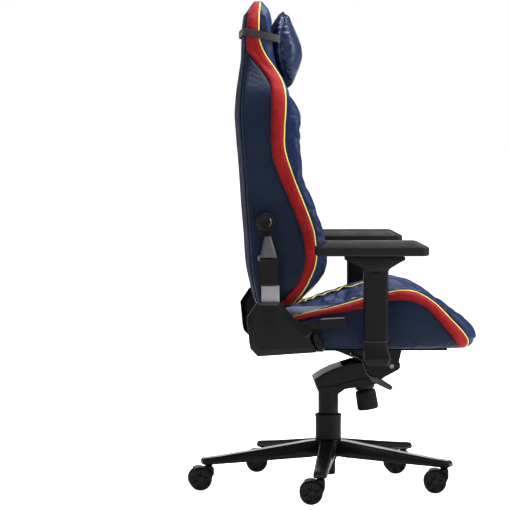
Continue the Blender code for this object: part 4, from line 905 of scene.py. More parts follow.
def seat():
    """The bucket cushion: a filled cover held at its seams, pressed seams and folds, red bands and
    cords."""
    cover = mesh_object("seat_padding", capped(seat_rings()))
    outer = {side: side_path(SEAT_PIPING, side, cover, 0.0) for _, side in SIDES}
    lower = {side: side_path(SEAT_BAND_LOW, side, cover, 0.0) for _, side in SIDES}
    inner = {side: laid_on(bolster_path(side, 0.062, -0.110, 0.300), cover, 0.0) for _, side in SIDES}
    seams = [*outer.values(), *lower.values(), *inner.values()]
    front = [seat_cross_seam(cover, x) for x in (0.055, 0.185, 0.300)]
    points = coordinates(cover.data)
    held = np.exp(-((nearness(points, seams + front) / 0.006) ** 2))
    held = np.maximum(held, points[:, 2] < 0.394)
    held = np.maximum(held, points[:, 0] < -0.165)
    half = np.interp(points[:, 0] - COLUMN_X, [s[0] for s in SEAT_STATIONS], [s[3] for s in SEAT_STATIONS])
    held = np.maximum(held, 0.85 * ((np.abs(points[:, 1]) > half - 0.008) & (seat_front(points,
            lower) < -0.004)))
    filled(cover, held, 3.0, 0.006)
    refined(cover)
    folds = [place(p) for p in SEAT_FOLDS] + [place(p * (1, -1, 1)) for p in SEAT_FOLDS]
    shaped(cover, [(seams, 0.0045, -0.003), (front, 0.005, -0.0035), (folds, 0.007, -0.0028)])
    # the front mask: where the cover's leather is painted lighter as painted light
    record_on(cover, "front", seat_front(coordinates(cover.data), outer))
    dress(cover, "seat", NAVY_PAINTED_LIT_FRONT, "seat_cushion")
    trimmed("seat", cover, (SEAT_BAND_LOW, SEAT_PIPING), 0.0010, 0.0021)
    for name, side in SIDES:
        cord = flowing(laid_on(bolster_path(side, 0.062, -0.110, 0.112), cover, 0.0012), 90, 9)
        piece(f"bolster_piping_{name}", "seat", cord_along(cord, 0.0020, (0, 1, 0)), YELLOW)


SEAT_FOLDS = [np.array(p) for p in (
    [(-0.120, -0.190, 0.480), (-0.020, -0.196, 0.500), (0.070, -0.192, 0.525)],
    [(-0.100, -0.172, 0.475), (0.010, -0.178, 0.490), (0.110, -0.180, 0.520)],
    [(-0.090, -0.150, 0.470), (0.030, -0.160, 0.480), (0.140, -0.170, 0.520)],
)]


def seat_cross_seam(cover, x):
    """A sewn line across the well, bowed forward at its centre."""
    y = np.linspace(-0.150, 0.150, 40)
    ahead = x + 0.015 * np.cos(y / 0.150 * math.pi / 2)
    return laid_on(place(np.stack([ahead, y, np.full(40, 0.7)], axis=1)), cover, 0.0, (0, 0, -1))


def seat_front(points, outer):
    """Positive on the top side of the yellow cord and negative below it, in metres."""
    path = outer[-1]
    order = np.argsort(path[:, 0])
    edge = np.interp(points[:, 0], path[order, 0], path[order, 2], right=0.0)
    half = np.interp(points[:, 0] - COLUMN_X, [s[0] for s in SEAT_STATIONS], [s[3] for s in SEAT_STATIONS])
    on_side = np.abs(points[:, 1]) > half - 0.06
    ahead = points[:, 0] > path[:, 0].max()
    return np.where(on_side & ~ahead, points[:, 2] - edge, 0.01)


# ---- head pillow ------------------------------------------------------------------------------
PILLOW_FRONT = (  # height, x
    (1.076, -0.109), (1.083, -0.097), (1.100, -0.086), (1.121, -0.077), (1.145, -0.070), (1.164, -0.067),
    (1.183, -0.070), (1.204, -0.079), (1.233, -0.095), (1.257, -0.110), (1.267, -0.121),
)
PILLOW_REAR = (
    (1.076, -0.111), (1.083, -0.119), (1.107, -0.130), (1.126, -0.140), (1.175, -0.154), (1.223, -0.158),
    (1.245, -0.150), (1.260, -0.135), (1.267, -0.124),
)
PILLOW_SEAM = ((1.076, -0.110), (1.110, -0.126), (1.150, -0.134), (1.200, -0.135), (1.245, -0.130), (1.269,
        -0.122))
PILLOW_HALF, PILLOW_LOW, PILLOW_TALL, PILLOW_MIDDLE = 0.140, 1.076, 0.193, 1.1725


def pillow_skin():
    """Two panels sewn round their edge. Across the pillow, y = half * sin(a); each panel stands off
    the seam line by its own profile times (1 - |y / half|^2.4)^0.75, and the height draws in
    towards the sides."""
    columns, rows = 72, 64
    a = np.linspace(0, 2 * math.pi, columns, endpoint=False)
    t = np.linspace(0.02, 0.98, rows)
    across = np.sin(a)
    face = np.cos(a)
    low, high = 1.076, 1.269
    middle = (low + high) / 2
    z_profile = low + (high - low) * (0.5 - 0.5 * np.cos(math.pi * t))
    front = np.interp(z_profile, *np.array(PILLOW_FRONT).T)
    rear = np.interp(z_profile, *np.array(PILLOW_REAR).T)
    seam = np.interp(z_profile, *np.array(PILLOW_SEAM).T)
    away = np.abs(face) ** 0.72
    reach = np.where(face > 0, 1.0, 0.0)
    stand = reach[None] * (front - seam)[:, None] + (1 - reach)[None] * (rear - seam)[:, None]
    half = PILLOW_HALF * (1 - 0.42 * np.abs(2 * (z_profile - middle) / (high - low)) ** 3.2)
    x = seam[:, None] + stand * away[None]
    y = half[:, None] * np.sign(across) * np.abs(across) ** 0.8
    z = middle + (z_profile - middle)[:, None] * (1 - 0.05 * np.abs(across)[None] ** 2)
    return capped(place(np.stack([x, y, z], axis=-1)))


def pillow_edge(count=240):
    """The sewn edge of the pillow, up one side and down the other."""
    z = PILLOW_LOW + PILLOW_TALL * (0.5 - 0.5 * np.cos(np.linspace(0.03, 0.97, count) * math.pi))
    x = np.interp(z, *np.array(PILLOW_SEAM).T)
    half = PILLOW_HALF * (1 - 0.42 * np.abs(2 * (z - PILLOW_MIDDLE) / PILLOW_TALL) ** 3.2)
    right = np.stack([x, -half, PILLOW_MIDDLE + (z - PILLOW_MIDDLE) * 0.95], axis=1)
    left = (right * (1, -1, 1))[::-1]
    return place(np.concatenate([right, left, right[:1]]))


def pillow():
    """The stuffed head pillow, puckered along its sewn edge, with a cord along that edge."""
    cover = mesh_object("pillow_stuffed", pillow_skin())
    edge = pillow_edge()
    points = coordinates(cover.data)
    filled(cover, np.exp(-((nearness(points, [edge]) / 0.004) ** 2)), 4.0, 0.006)
    refined(cover)
    points = coordinates(cover.data)
    off = nearness(points, [edge])
    way = np.arctan2(points[:, 2] - PILLOW_MIDDLE, points[:, 1])
    pucker = np.sin(way * 46 + 2.0 * np.sin(way * 5)) * np.exp(-(((off - 0.012) / 0.011) ** 2)) * 0.0016
    crease = -0.0035 * np.exp(-((off / 0.0035) ** 2))
    set_coordinates(cover.data, points + normals(cover.data) * (pucker + crease)[:, None])
    dress(cover, "pillow", PILLOW_LEATHER, "head_pillow")
    welt = laid_on(edge, cover, 0.0004)
    welt = flowing(welt, 260, 3)
    piece("pillow_welt", "pillow", cord_along(welt, 0.0014, (1, 0, 0)), DARK_PIPING)


def strap():
    """Elastic webbing round the head section: across the rear, along each side, then in to the
    pillow's sides, sloping down towards the front."""
    half_line = [(-0.2355, 0.0), (-0.2355, 0.160), (-0.2355, 0.176), (-0.233, 0.1845), (-0.223, 0.1870),
                 (-0.190, 0.1865), (-0.170, 0.183), (-0.154, 0.171), (-0.140, 0.150), (-0.137, 0.136)]
    half_path = flowing(half_line, 70, 5)
    path = np.concatenate([half_path[::-1] * (1, -1), half_path[1:]])
    z = 1.2175 - (path[:, 0] + 0.233) * 0.20
    points = place(np.column_stack([path, z]))
    ahead = np.gradient(points, axis=0)
    out = np.cross(ahead, (0, 0, 1))
    out /= np.linalg.norm(out, axis=1, keepdims=True)
    rise = np.cross(out, ahead)
    rise /= np.linalg.norm(rise, axis=1, keepdims=True)
    piece("pillow_webbing", "pillow", ribbon(points, out, rise, 0.0195, 0.0018), STRAP,
          "pillow_strap")


# ---- where the frame's joints are ---------------------------------------------------------------
JOINTS = {joint["name"]: joint for joint in frame["joints"]}


def axis_of(joint):
    """A joint's place and direction, as arrays."""
    return np.array(JOINTS[joint]["pos_m"], float), np.array(JOINTS[joint]["axis"], float)


def round_ring(x, y, z, length, width, corner, steps=6):
    """A level rectangle with round corners, its points counted round from the front left one."""
    turn = np.linspace(0, math.pi / 2, steps)
    points = []
    for k in range(4):
        a = turn + k * math.pi / 2
        sx, sy = np.sign(math.cos(a.mean())), np.sign(math.sin(a.mean()))
        u = sx * (length / 2 - corner) + corner * np.cos(a)
        v = sy * (width / 2 - corner) + corner * np.sin(a)
        points.append(np.stack([x + u, y + v, np.full(steps, z)], axis=1))
    return np.concatenate(points)


# ---- star base and casters ----------------------------------------------------------------------
LEG_SECTION = ((-0.42, 0.0), (0.42, 0.0), (0.5, 0.30), (0.46, 0.80), (0.38, 1.0), (-0.38, 1.0), (-0.46, 0.80),
               (-0.5, 0.30))  # share of the width across, share of the height
LEG_STATIONS = (  # reach, width, underside z, top z
    (0.028, 0.040, 0.083, 0.1265),
    (0.060, 0.046, 0.080, 0.1235),
    (0.100, 0.0455, 0.0785, 0.1175),
    (0.200, 0.0425, 0.0735, 0.1035),
    (0.300, 0.0385, 0.0690, 0.0900),
    (0.334, 0.0370, 0.0675, 0.0865),
    (0.345, 0.0355, 0.0675, 0.0850),
    (0.350, 0.0330, 0.0700, 0.0785),
)


def leg(heading):
    """One leg: an eight-cornered section, narrow on top, carried outwards and down to the tip."""
    rings = []
    for reach, width, low, high in LEG_STATIONS:
        across = np.array([share * width for share, _ in LEG_SECTION])
        z = np.array([low + share * (high - low) for _, share in LEG_SECTION])
        x = reach * math.cos(heading) - across * math.sin(heading)
        y = reach * math.sin(heading) + across * math.cos(heading)
        rings.append(np.stack([x, y, z], axis=1))
    return stack(place(rings))


def star_base():
    """Hub, five legs and a cone under each tip for the caster's stem."""
    hub = [(0.0218, 0.079), (0.0218, 0.100), (0.0295, 0.101), (0.0295, 0.1272), (0.0345, 0.1278), (0.0365,
            0.1262), (0.0375, 0.118), (0.0375, 0.090), (0.034, 0.082), (0.029, 0.079)]
    skins = [turned(hub, place((0, 0, 0)), hollow=True)]
    for number in range(1, 6):
        stem, _ = axis_of(f"caster_{number}_swivel")
        heading = math.atan2(stem[1], stem[0] - COLUMN_X)
        skins.append(leg(heading))
        cone = [(0.0075, 0.0648), (0.0105, 0.0652), (0.0125, 0.0685), (0.0150, 0.0740), (0.0155, 0.0800)]
        skins.append(turned(cone, (stem[0], stem[1], 0), segments=32))
    piece("star_base_body", "base", joined(*skins), LEG, "star_base", bevel=0.0014, corner=24)
    foot = [(0.0170, 0.0330), (0.0185, 0.0345), (0.0195, 0.040), (0.0195, 0.0705), (0.0215, 0.0720),
            (0.0215, 0.0790), (0.0170, 0.0790)]
    piece("cylinder_end", "base", turned(foot, place((0, 0, 0)), hollow=True), BLACK_STEEL)


def column_covers():
    """The two telescoping sleeves over the gas lift, the lower one with a rolled rim."""
    lower = [(0.0315, 0.1284), (0.0315, 0.1950), (0.0345, 0.1954), (0.0358, 0.1944), (0.0361, 0.1920),
             (0.0358, 0.1896), (0.0347, 0.1884), (0.0345, 0.1600), (0.0347, 0.1330), (0.0352, 0.1296),
             (0.0346, 0.1284)]
    piece("lower_cover", "base", turned(lower, place((0, 0, 0)), hollow=True), BLACK,
          "lower_dust_cover")
    upper = [(0.0240, 0.1605), (0.0240, 0.2548), (0.0262, 0.2550), (0.0270, 0.2540), (0.0270, 0.1625),
             (0.0262, 0.1605)]
    piece("upper_cover", "lift", turned(upper, place((0, 0, 0)), hollow=True), BLACK,
          "upper_dust_cover")


def wheel(centre, outwards):
    """A wheel: its section carried round the axle, with five pockets sunk in the outer face where
    cos(5 a) is high and the radius is between the hub and the rim."""
    profile = np.array([(4.6, -8.6), (24.0, -8.6), (27.5, -8.0), (28.6, -6.4), (28.6, 6.4), (28.2, 8.2),
                        (26.8, 8.9), (25.4, 8.9), (24.6, 8.3), (24.2, 7.4), (22.8, 7.2), (21.6, 7.2), (20.4,
            7.2), (18.5, 7.2), (16.5, 7.2), (14.5, 7.2), (12.5, 7.2), (10.8, 7.2), (9.6, 7.2), (8.4, 7.3),
            (7.6, 8.4), (6.4, 8.8), (4.6, 8.9)]) / 1000
    angle = np.linspace(0, 2 * math.pi, 100, endpoint=False)
    radius, height = profile[:, :1], profile[:, 1:]
    near = 1 / (1 + np.exp(-(radius - 0.0100) / 0.0004)) / (1 + np.exp((radius - 0.0212) / 0.0004))
    pocket = near * (height > 0.005) / (1 + np.exp(-(np.cos(5 * angle)[None] + 0.25) * 9))
    across = np.cross(outwards, (0, 0, 1))
    rim = np.cos(angle)[:, None] * across + np.sin(angle)[:, None] * np.array([0, 0, 1.0])
    deep = height - 0.0042 * pocket
    rings = centre + radius[..., None] * rim[None] + deep[..., None] * outwards
    return capped(rings)


def caster(number):
    """A twin-wheel caster: a hood over and between its wheels, two wheels and their treads."""
    stem, _ = axis_of(f"caster_{number}_swivel")
    name = f"caster_{number}"
    for letter, side in (("a", -1), ("b", 1)):
        axle, along = axis_of(f"{name}_roll_{letter}")
        outwards = side * along
        centre = axle + outwards * 0.0175
        piece(f"{name}_disc_{letter}", f"{name}_roller_{letter}", wheel(centre, outwards), WHEEL,
              f"{name}_wheel_{letter}", corner=38)
        tread = [(0.0276, -0.0066), (0.0290, -0.0071), (0.0298, -0.0055), (0.0300, 0.0), (0.0298, 0.0055),
                 (0.0290, 0.0071), (0.0276, 0.0066)]
        piece(f"{name}_tread_{letter}", f"{name}_roller_{letter}", turned(tread, centre, outwards, 72,
                hollow=True), TREAD)
    trail = axle - stem
    trail[2] = 0
    trail /= np.linalg.norm(trail)
    turn = np.radians(np.linspace(-30, 72, 9))
    bow = [(0.024 + 0.0275 * math.cos(a), 0.030 + 0.0275 * math.sin(a)) for a in turn]
    block = [(0.006, 0.014), *bow, (0.020, 0.0610), (0.012, 0.0628), (-0.009, 0.0628), (-0.0115, 0.0600),
             (-0.0115, 0.0400), (-0.0080, 0.0300), (-0.0020, 0.0240)]
    arch = np.radians(np.linspace(58, 128, 14))
    cover = [(0.024 + 0.0332 * math.cos(a), 0.030 + 0.0332 * math.sin(a)) for a in arch]
    cover += [(0.024 + 0.0312 * math.cos(a), 0.030 + 0.0312 * math.sin(a)) for a in arch[::-1]]
    ear = [(0.006, 0.0628), (-0.0095, 0.0628), (-0.0115, 0.0605), (-0.0115, 0.0430), (-0.0085, 0.0395),
           (-0.0062, 0.0400), (-0.0050, 0.0480), (-0.0005, 0.0560), (0.0065, 0.0605)]
    skins = [slab(block, -0.0068, 0.0068), slab(cover, -0.0250, 0.0250), slab(ear, -0.0235, 0.0235)]
    points, faces = joined(*skins)
    moved = stem * (1, 1, 0) + points[:, :1] * trail + points[:, 1:2] * along + points[:, 2:] * np.array([0,
            0, 1.0])
    collar = turned([(0.0100, 0.0615), (0.0100, 0.0636), (0.0070, 0.0640), (0.0065, 0.0652)], stem * (1, 1,
            0), segments=28)
    hood = joined(outward(moved, faces), collar)
    piece(f"{name}_fork", name, hood, BLACK, f"{name}_hood", bevel=0.0009, corner=28)


# ---- mechanism ----------------------------------------------------------------------------------
def mechanism():
    """Bolt heads, side ribs and the ribbed tension knob; the pressed housing is the frame's own."""
    tilt, _ = axis_of("seat_tilt")
    hexagon = [(0.0085 * math.cos(a), 0.0085 * math.sin(a)) for a in np.radians(range(0, 360, 60))]
    for name, side in SIDES:
        wide = side * 0.0682
        bolt = slab([(tilt[0] + u, tilt[2] + v) for u, v in hexagon], wide, wide + side * 0.0055)
        washer = turned([(0.0115, 0.0), (0.0115, 0.0014)], (tilt[0], wide, tilt[2]), (0, side, 0), 32)
        piece(f"tilt_bolt_{name}", "mechanism", joined(bolt, washer), STEEL, bevel=0.0006)
        rib = [(-0.030, 0.266), (0.020, 0.270), (0.060, 0.283), (0.118, 0.294), (0.116, 0.300), (0.058,
                0.290), (0.018, 0.277), (-0.032, 0.273)]
        piece(f"housing_rib_{name}", "mechanism", slab(place_flat(rib), wide - side * 0.001,
                                                       wide + side * 0.0028), BLACK_STEEL,
              bevel=0.0008)
    centre, axis = axis_of("tension_knob_turn")
    ribs = [(0.0220, -0.0285, 0), (0.0255, -0.0290, 0), (0.0273, -0.0265, 0.6), (0.0279, -0.0215, 1),
            (0.0275, -0.0060, 1), (0.0271, 0.0120, 1), (0.0268, 0.0195, 0.7), (0.0245, 0.0235, 0), (0.0120,
            0.0248, 0)]
    knob = turned(ribs, centre, axis, 240, ripple=lambda a: 0.0005 * np.cos(30 * a))
    neck = [(0.0225, 0.0262), (0.0245, 0.0270), (0.0262, 0.0300), (0.0265, 0.0420), (0.0240, 0.0560)]
    piece("tension_neck", "mechanism", turned(neck, centre, axis, 64), BLACK_STEEL)
    foot = turned([(0.0170, -0.0300), (0.0185, -0.0293), (0.0185, -0.0283)], centre, axis, 48)
    piece("tension_grip", "tension_dial", joined(knob, foot), BLACK, "tension_knob",
          corner=40)


def place_flat(outline):
    """A side-view outline measured from the gas column, moved into the frame."""
    return np.asarray(outline, float) + np.array([COLUMN_X, 0.0])


# ---- recliner covers, uprights, lever and lumbar knob ----------------------------------------------
COVER_EDGE = ((-0.203, 0.517), (-0.144, 0.517), (-0.134, 0.509), (-0.113, 0.483), (-0.080, 0.455), (-0.058,
        0.443), (-0.067, 0.429), (-0.060, 0.408), (-0.048, 0.388), (-0.201, 0.378), (-0.220, 0.398),
        (-0.223, 0.414), (-0.229, 0.478), (-0.221, 0.491))
COVER_FACE = ((-0.197, 0.510), (-0.150, 0.510), (-0.144, 0.501), (-0.127, 0.473), (-0.098, 0.445), (-0.078,
        0.432), (-0.081, 0.426), (-0.076, 0.410), (-0.070, 0.3995), (-0.194, 0.395), (-0.206, 0.404),
        (-0.209, 0.416), (-0.2135, 0.474), (-0.207, 0.486))
LEVER_SLOT = (2, 3, 4)  # sides of the edge that the recline lever passes through


def side_cover(name, side):
    """A faceted cap: an upright rim, then bevels of unequal width up to the flat face, hollow
    inside, with a slot in the right one's rim for the lever."""
    rows = []
    for outline, across in ((COVER_EDGE, 0.2806), (COVER_EDGE, 0.2916), (COVER_EDGE, 0.2938),
                            (COVER_FACE, 0.2998)):
        flat = place_flat(outline)
        rows.append(np.stack([flat[:, 0], np.full(len(flat), side * across), flat[:, 1]], axis=1))
    count = len(COVER_EDGE)
    faces = grid_faces(4, count).tolist()
    if side < 0:
        faces = [face for number, face in enumerate(faces) if number not in LEVER_SLOT]
    faces.append((np.arange(count) + 3 * count).tolist())
    cap = mesh_object(f"recliner_cap_{name}", (np.concatenate(rows), faces))
    if cap.data.polygons[len(faces) - 1].normal.y * side < 0:
        cap.data.flip_normals()
    cap.data.shade_smooth()
    cap.data.set_sharp_from_angle(angle=math.radians(14))
    wall = cap.modifiers.new("wall", "SOLIDIFY")
    wall.thickness, wall.offset = 0.0025, -1.0
    soft = cap.modifiers.new("edge", "BEVEL")
    soft.width, soft.segments, soft.angle_limit = 0.0010, 2, math.radians(14)
    soft.harden_normals = True
    dress(cap, "seat", CHARCOAL, f"side_cover_{name}")
    inset = [(-0.193, 0.5085), (-0.152, 0.5085), (-0.1585, 0.462), (-0.1800, 0.462)]
    piece(f"recliner_inset_{name}", "seat", slab(place_flat(inset), side * 0.2990, side * 0.3011), BLACK,
          bevel=0.0008)
    badge = [(-0.166, 0.452), (-0.156, 0.455), (-0.146, 0.452), (-0.148, 0.441), (-0.156, 0.435), (-0.164,
            0.441)]
    piece(f"recliner_badge_{name}", "seat", slab(place_flat(badge), side * 0.2992, side * 0.3007),
          BLACK_STEEL, bevel=0.0005)
    mouth = [(-0.056, 0.4425), (-0.049, 0.4400), (-0.031, 0.4180), (-0.026, 0.3990), (-0.031, 0.3885),
             (-0.0475, 0.3885), (-0.059, 0.4085), (-0.0655, 0.4290)]
    face = [(-0.054, 0.4360), (-0.049, 0.4340), (-0.037, 0.4160), (-0.034, 0.4010), (-0.036, 0.3945),
            (-0.0455, 0.3950), (-0.054, 0.4110), (-0.0590, 0.4270)]
    rings = []
    for outline, across in ((mouth, 0.2780), (mouth, 0.2830 if side < 0 else 0.2900), (face, 0.2960)):
        flat = place_flat(outline)
        rings.append(np.stack([flat[:, 0], np.full(len(flat), side * across), flat[:, 1]], axis=1))
    piece(f"recliner_mouth_{name}", "seat", stack(rings), BLACK, bevel=0.0008, corner=20)


def upright(name, side):
    """The moulded trim over the back's bracket: a tapered top, a block with bevelled sides, and a
    bright plate below it."""
    def layer(outline, across):
        flat = place_flat(outline)
        return np.stack([flat[:, 0], np.full(len(flat), side * across), flat[:, 1]], axis=1)

    taper = ((-0.1955, 0.632), (-0.150, 0.631), (-0.1665, 0.6885), (-0.1825, 0.6885))
    taper_face = ((-0.188, 0.634), (-0.157, 0.634), (-0.1700, 0.6840), (-0.1790, 0.6840))
    piece(f"upright_taper_{name}", "back", stack([layer(taper, 0.2787), layer(taper, 0.2845),
                                                  layer(taper_face, 0.2905)]), GREY,
          f"upright_trim_{name}", bevel=0.0008, corner=12)
    block = ((-0.1945, 0.5605), (-0.1485, 0.5605), (-0.1495, 0.6312), (-0.1955, 0.6320))
    block_face = ((-0.1865, 0.5625), (-0.1560, 0.5625), (-0.1565, 0.6300), (-0.1885, 0.6305))
    piece(f"upright_block_{name}", "back", stack([layer(block, 0.2787), layer(block, 0.2850),
                                                  layer(block_face, 0.2903)]), CHARCOAL,
          bevel=0.0008, corner=12)
    plate = ((-0.1905, 0.4900), (-0.1435, 0.4900), (-0.1445, 0.5600), (-0.1915, 0.5600))
    plate_face = ((-0.1890, 0.4910), (-0.1520, 0.4910), (-0.1520, 0.5590), (-0.1900, 0.5590))
    piece(f"upright_plate_{name}", "back", stack([layer(plate, 0.2779), layer(plate, 0.2784),
                                                  layer(plate_face, 0.2797)]), SILVER,
          bevel=0.0003, corner=8)


def recline_lever():
    """A black arm out of the cover and a grey paddle with a grooved underside, with a thin bright strip along the
    paddle's top edge as a painted highlight.
    """
    pin, _ = axis_of("recline_lever_pull")
    turn = np.radians(np.linspace(60, 300, 12))
    arm = [(-0.036, 0.4490), (-0.036, 0.4640)]
    arm += [(pin[0] - COLUMN_X + 0.0135 * math.cos(a), pin[2] + 0.0135 * math.sin(a)) for a in turn]
    piece("lever_arm", "back_lever", slab(place_flat(arm), -0.2838, -0.2882), BLACK,
          bevel=0.0008)
    grip = [(-0.044, 0.4530), (-0.030, 0.4500), (-0.010, 0.4500), (-0.006, 0.4525), (0.008, 0.4525), (0.012,
            0.4500), (0.025, 0.4510), (0.030, 0.4565), (0.0305, 0.4700), (0.0250, 0.4768), (-0.034, 0.4738),
            (-0.044, 0.4655)]
    # painted highlight: this bright strip along the paddle's top edge stands in for light caught on that edge
    top = [(-0.040, 0.4725), (0.0245, 0.4765), (0.0225, 0.4780), (-0.032, 0.4755)]
    piece("lever_paddle", "back_lever", slab(place_flat(grip), -0.2792, -0.2928), CHARCOAL,
          "recline_lever", bevel=0.0022)
    piece("lever_paddle_edge", "back_lever", slab(place_flat(top), -0.2805, -0.2915), SILVER,
          bevel=0.0006)


def lumbar_knob():
    """A ribbed knob with a dished face and an index arc, over a drop-shaped housing."""
    centre, _ = axis_of("lumbar_knob_turn")
    section = [(0.0215, 0.2525, 0), (0.0238, 0.2540, 0.5), (0.0240, 0.2700, 1), (0.0240, 0.2860, 1),
               (0.0232, 0.2890, 0.6), (0.0220, 0.2902, 0), (0.0190, 0.2904, 0), (0.0182, 0.2892, 0),
               (0.0172, 0.2885, 0), (0.0060, 0.2880, 0), (0.0020, 0.2879, 0)]
    origin = np.array([centre[0], 0.0, centre[2]])
    knob = turned(section, origin, (0, -1, 0), 256, ripple=lambda a: 0.0005 * np.cos(32 * a))
    piece("lumbar_grip", "lumbar_dial", knob, BLACK, "lumbar_knob", corner=40)
    turn = np.radians(np.linspace(-52, 40, 26))
    arc = np.stack([centre[0] + 0.0135 * np.cos(turn), np.full(26, -0.2886),
                    centre[2] + 0.0135 * np.sin(turn)], axis=1)
    piece("lumbar_index", "lumbar_dial", cord_along(arc, 0.0009, (0, 1, 0)), SILVER)
    around = np.radians(np.linspace(-20, 200, 22))
    drop = [(centre[0] + 0.0250 * math.cos(a), centre[2] + 0.0250 * math.sin(a)) for a in around]
    drop += [(centre[0] - 0.0150, centre[2] - 0.0330), (centre[0] - 0.0055, centre[2] - 0.0420),
             (centre[0] + 0.0075, centre[2] - 0.0420), (centre[0] + 0.0165, centre[2] - 0.0330)]
    piece("lumbar_housing", "back", slab(drop, -0.2440, -0.2655), BLACK, bevel=0.0030)


# ---- armrests -------------------------------------------------------------------------------------
def armrest(name, side):
    """Post collar, sleeve with its flared head, and the padded top."""
    def level(x, y, z, length, width, corner):
        return round_ring(COLUMN_X + x, side * y, z, length, width, corner)

    collar = [level(0.107, 0.305, 0.3545, 0.052, 0.031, 0.007), level(0.107, 0.305, 0.3560, 0.056, 0.034,
            0.008), level(0.108, 0.305, 0.3720, 0.071, 0.041, 0.009), level(0.1075, 0.305, 0.3760, 0.069,
            0.040, 0.009), level(0.103, 0.305, 0.4040, 0.0605, 0.0345, 0.008), level(0.103, 0.305, 0.4150,
            0.0605, 0.0345, 0.008), level(0.103, 0.305, 0.4160, 0.0595, 0.0335, 0.0075)]
    piece(f"post_collar_{name}", "seat", stack(collar), BLACK, f"arm_collar_{name}",
          corner=20)
    seam = [level(0.103, 0.305, 0.4162, 0.0612, 0.0352, 0.0083), level(0.103, 0.305, 0.4180, 0.0612, 0.0352,
            0.0083)]
    piece(f"post_ring_{name}", "seat", stack(seam), GREY, bevel=0.0004)
    sleeve = [level(0.103, 0.305, 0.4202, 0.0625, 0.0335, 0.0095), level(0.103, 0.305, 0.4215, 0.0640,
            0.0350, 0.0100), level(0.103, 0.305, 0.5980, 0.0640, 0.0350, 0.0100), level(0.103, 0.305,
            0.6010, 0.0650, 0.0358, 0.0100), level(0.103, 0.306, 0.6060, 0.0720, 0.0380, 0.0090),
            level(0.1010, 0.3105, 0.6170, 0.1080, 0.0500, 0.0090), level(0.0993, 0.3153, 0.6275, 0.1440,
            0.0630, 0.0090), level(0.0990, 0.3160, 0.6290, 0.1530, 0.0655, 0.0090), level(0.0990, 0.3160,
            0.6365, 0.1535, 0.0657, 0.0090), level(0.0990, 0.3160, 0.6370, 0.1520, 0.0645, 0.0085)]
    piece(f"sleeve_{name}", f"arm_{name}", stack(sleeve), BLACK, f"arm_sleeve_{name}",
          corner=24)
    low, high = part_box(f"arm_pad_{name}")
    x, y = (low.x + high.x) / 2 - COLUMN_X, abs((low.y + high.y) / 2)
    length, width = high.x - low.x, high.y - low.y
    pad = [level(x, y, 0.6402, length - 0.014, width - 0.014, 0.016), level(x, y, 0.6412, length - 0.004,
            width - 0.004, 0.019), level(x, y, 0.6440, length, width, 0.020), level(x, y, 0.6600, length,
            width, 0.020), level(x, y, 0.6625, length - 0.003, width - 0.002, 0.020), level(x - 0.002, y,
            0.6762, length - 0.052, width - 0.024, 0.016), level(x - 0.002, y, 0.6778, length - 0.064,
            width - 0.034, 0.013)]
    cover = mesh_object(f"pad_top_{name}", stack(pad))
    cover.data.shade_smooth()
    cover.data.set_sharp_from_angle(angle=math.radians(26))
    dress(cover, f"arm_rest_{name}", ARM_TOP, f"arm_pad_{name}")


# ---- room, light and camera ---------------------------------------------------------------------
def white_to_camera(tree, elsewhere):
    """A strength of 1 where the camera looks straight at a surface and a lower one as a light."""
    path = tree.nodes.new("ShaderNodeLightPath")
    strength = tree.nodes.new("ShaderNodeMapRange")
    strength.inputs["To Min"].default_value = elsewhere
    tree.links.new(path.outputs["Is Camera Ray"], strength.inputs["Value"])
    return strength.outputs[0]


def room():
    """A plain pale floor, wide enough to meet the surround."""
    turn = np.linspace(0, 2 * math.pi, 96, endpoint=False)
    rings = np.stack([np.stack([reach * np.cos(turn), reach * np.sin(turn), 0 * turn], axis=1)
                      for reach in (0.01, 3.0, 9.0, 60.0)])
    faces = [face[::-1] for face in grid_faces(4, 96).tolist()] + [list(range(96))]
    floor = mesh_object("floor", (rings.reshape(-1, 3), faces))
    make = Finish("pale_floor")
    tone = make.mixed(make.noise(1.5, 2), paint(0.86, 0.86, 0.87), paint(0.90, 0.90, 0.90))
    make.done(tone, 0.75, Emission_Color=paint(1, 1, 1))
    make.links.new(white_to_camera(make.material.node_tree, 0.30), make.shader.inputs["Emission Strength"])
    floor.data.materials.append(make.material)


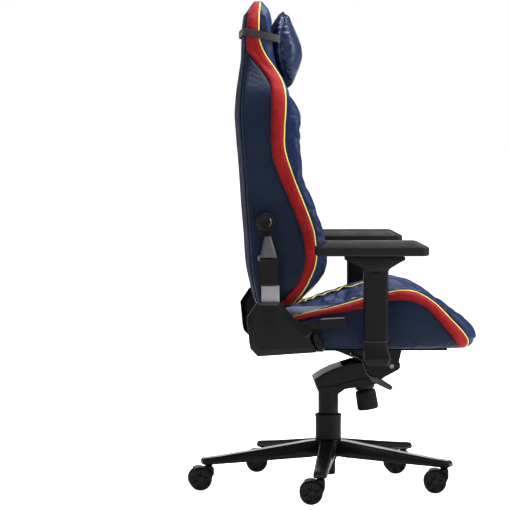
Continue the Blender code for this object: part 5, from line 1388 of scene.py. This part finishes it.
def light(name, at, towards, size, power, colour=(1, 1, 1)):
    """A square soft box facing a point."""
    lamp = bpy.data.lights.new(name, "AREA")
    lamp.shape = "SQUARE"
    lamp.size = size
    lamp.energy = power
    lamp.color = colour
    made = bpy.data.objects.new(name, lamp)
    made.location = at
    made.rotation_euler = (Vector(towards) - Vector(at)).to_track_quat("-Z", "Y").to_euler()
    bpy.context.scene.collection.objects.link(made)


def studio():
    """Soft light from above and ahead, weaker ones from the camera's side, from behind and low on
    the far side, and a pale surround."""
    world = bpy.data.worlds.new("surround")
    bpy.context.scene.world = world
    view = bpy.context.scene.view_settings
    view.view_transform, view.gamma = "Standard", 0.8
    world.use_nodes = True
    surround = world.node_tree.nodes["Background"].inputs
    surround["Color"].default_value = paint(1, 1, 1)
    world.node_tree.links.new(white_to_camera(world.node_tree, 0.24), surround["Strength"])
    light("overhead", (0.5, 0.2, 3.4), (0, 0, 0.5), 2.0, 120)
    light("ahead", (3.4, -1.2, 2.0), (0, 0, 0.8), 1.4, 90)
    light("beside_camera", (-2.0, -4.0, 2.8), (-0.1, 0, 0.7), 1.0, 40)
    light("behind", (-2.8, 1.2, 1.6), (-0.2, 0, 0.8), 0.8, 8)
    light("horizon", (0.0, 5.0, 0.8), (0, 0, 0.4), 2.8, 42)


def camera():
    """A long lens from the chair's right, a little above the armrests and looking slightly down."""
    lens = bpy.data.cameras.new("camera")
    lens.lens = 36.0 * 2606 / 510
    lens.sensor_width = 36.0
    lens.clip_end = 100.0
    made = bpy.data.objects.new("camera", lens)
    made.location = (-0.442 + COLUMN_X, -6.989, 1.015)
    turn, dip = math.radians(2.0), math.radians(3.2)
    ahead = Vector((math.sin(turn) * math.cos(dip), math.cos(turn) * math.cos(dip), -math.sin(dip)))
    made.rotation_euler = ahead.to_track_quat("-Z", "Y").to_euler()
    bpy.context.scene.collection.objects.link(made)
    bpy.context.scene.camera = made


# ---- the chair ----------------------------------------------------------------------------------
finish_frame_nodes()
backrest()
rear_cover()
seat()
pillow()
strap()
star_base()
column_covers()
for caster_number in range(1, 6):
    caster(caster_number)
mechanism()
for side_name, side_sign in SIDES:
    side_cover(side_name, side_sign)
    upright(side_name, side_sign)
    armrest(side_name, side_sign)
recline_lever()
lumbar_knob()
room()
studio()
camera()
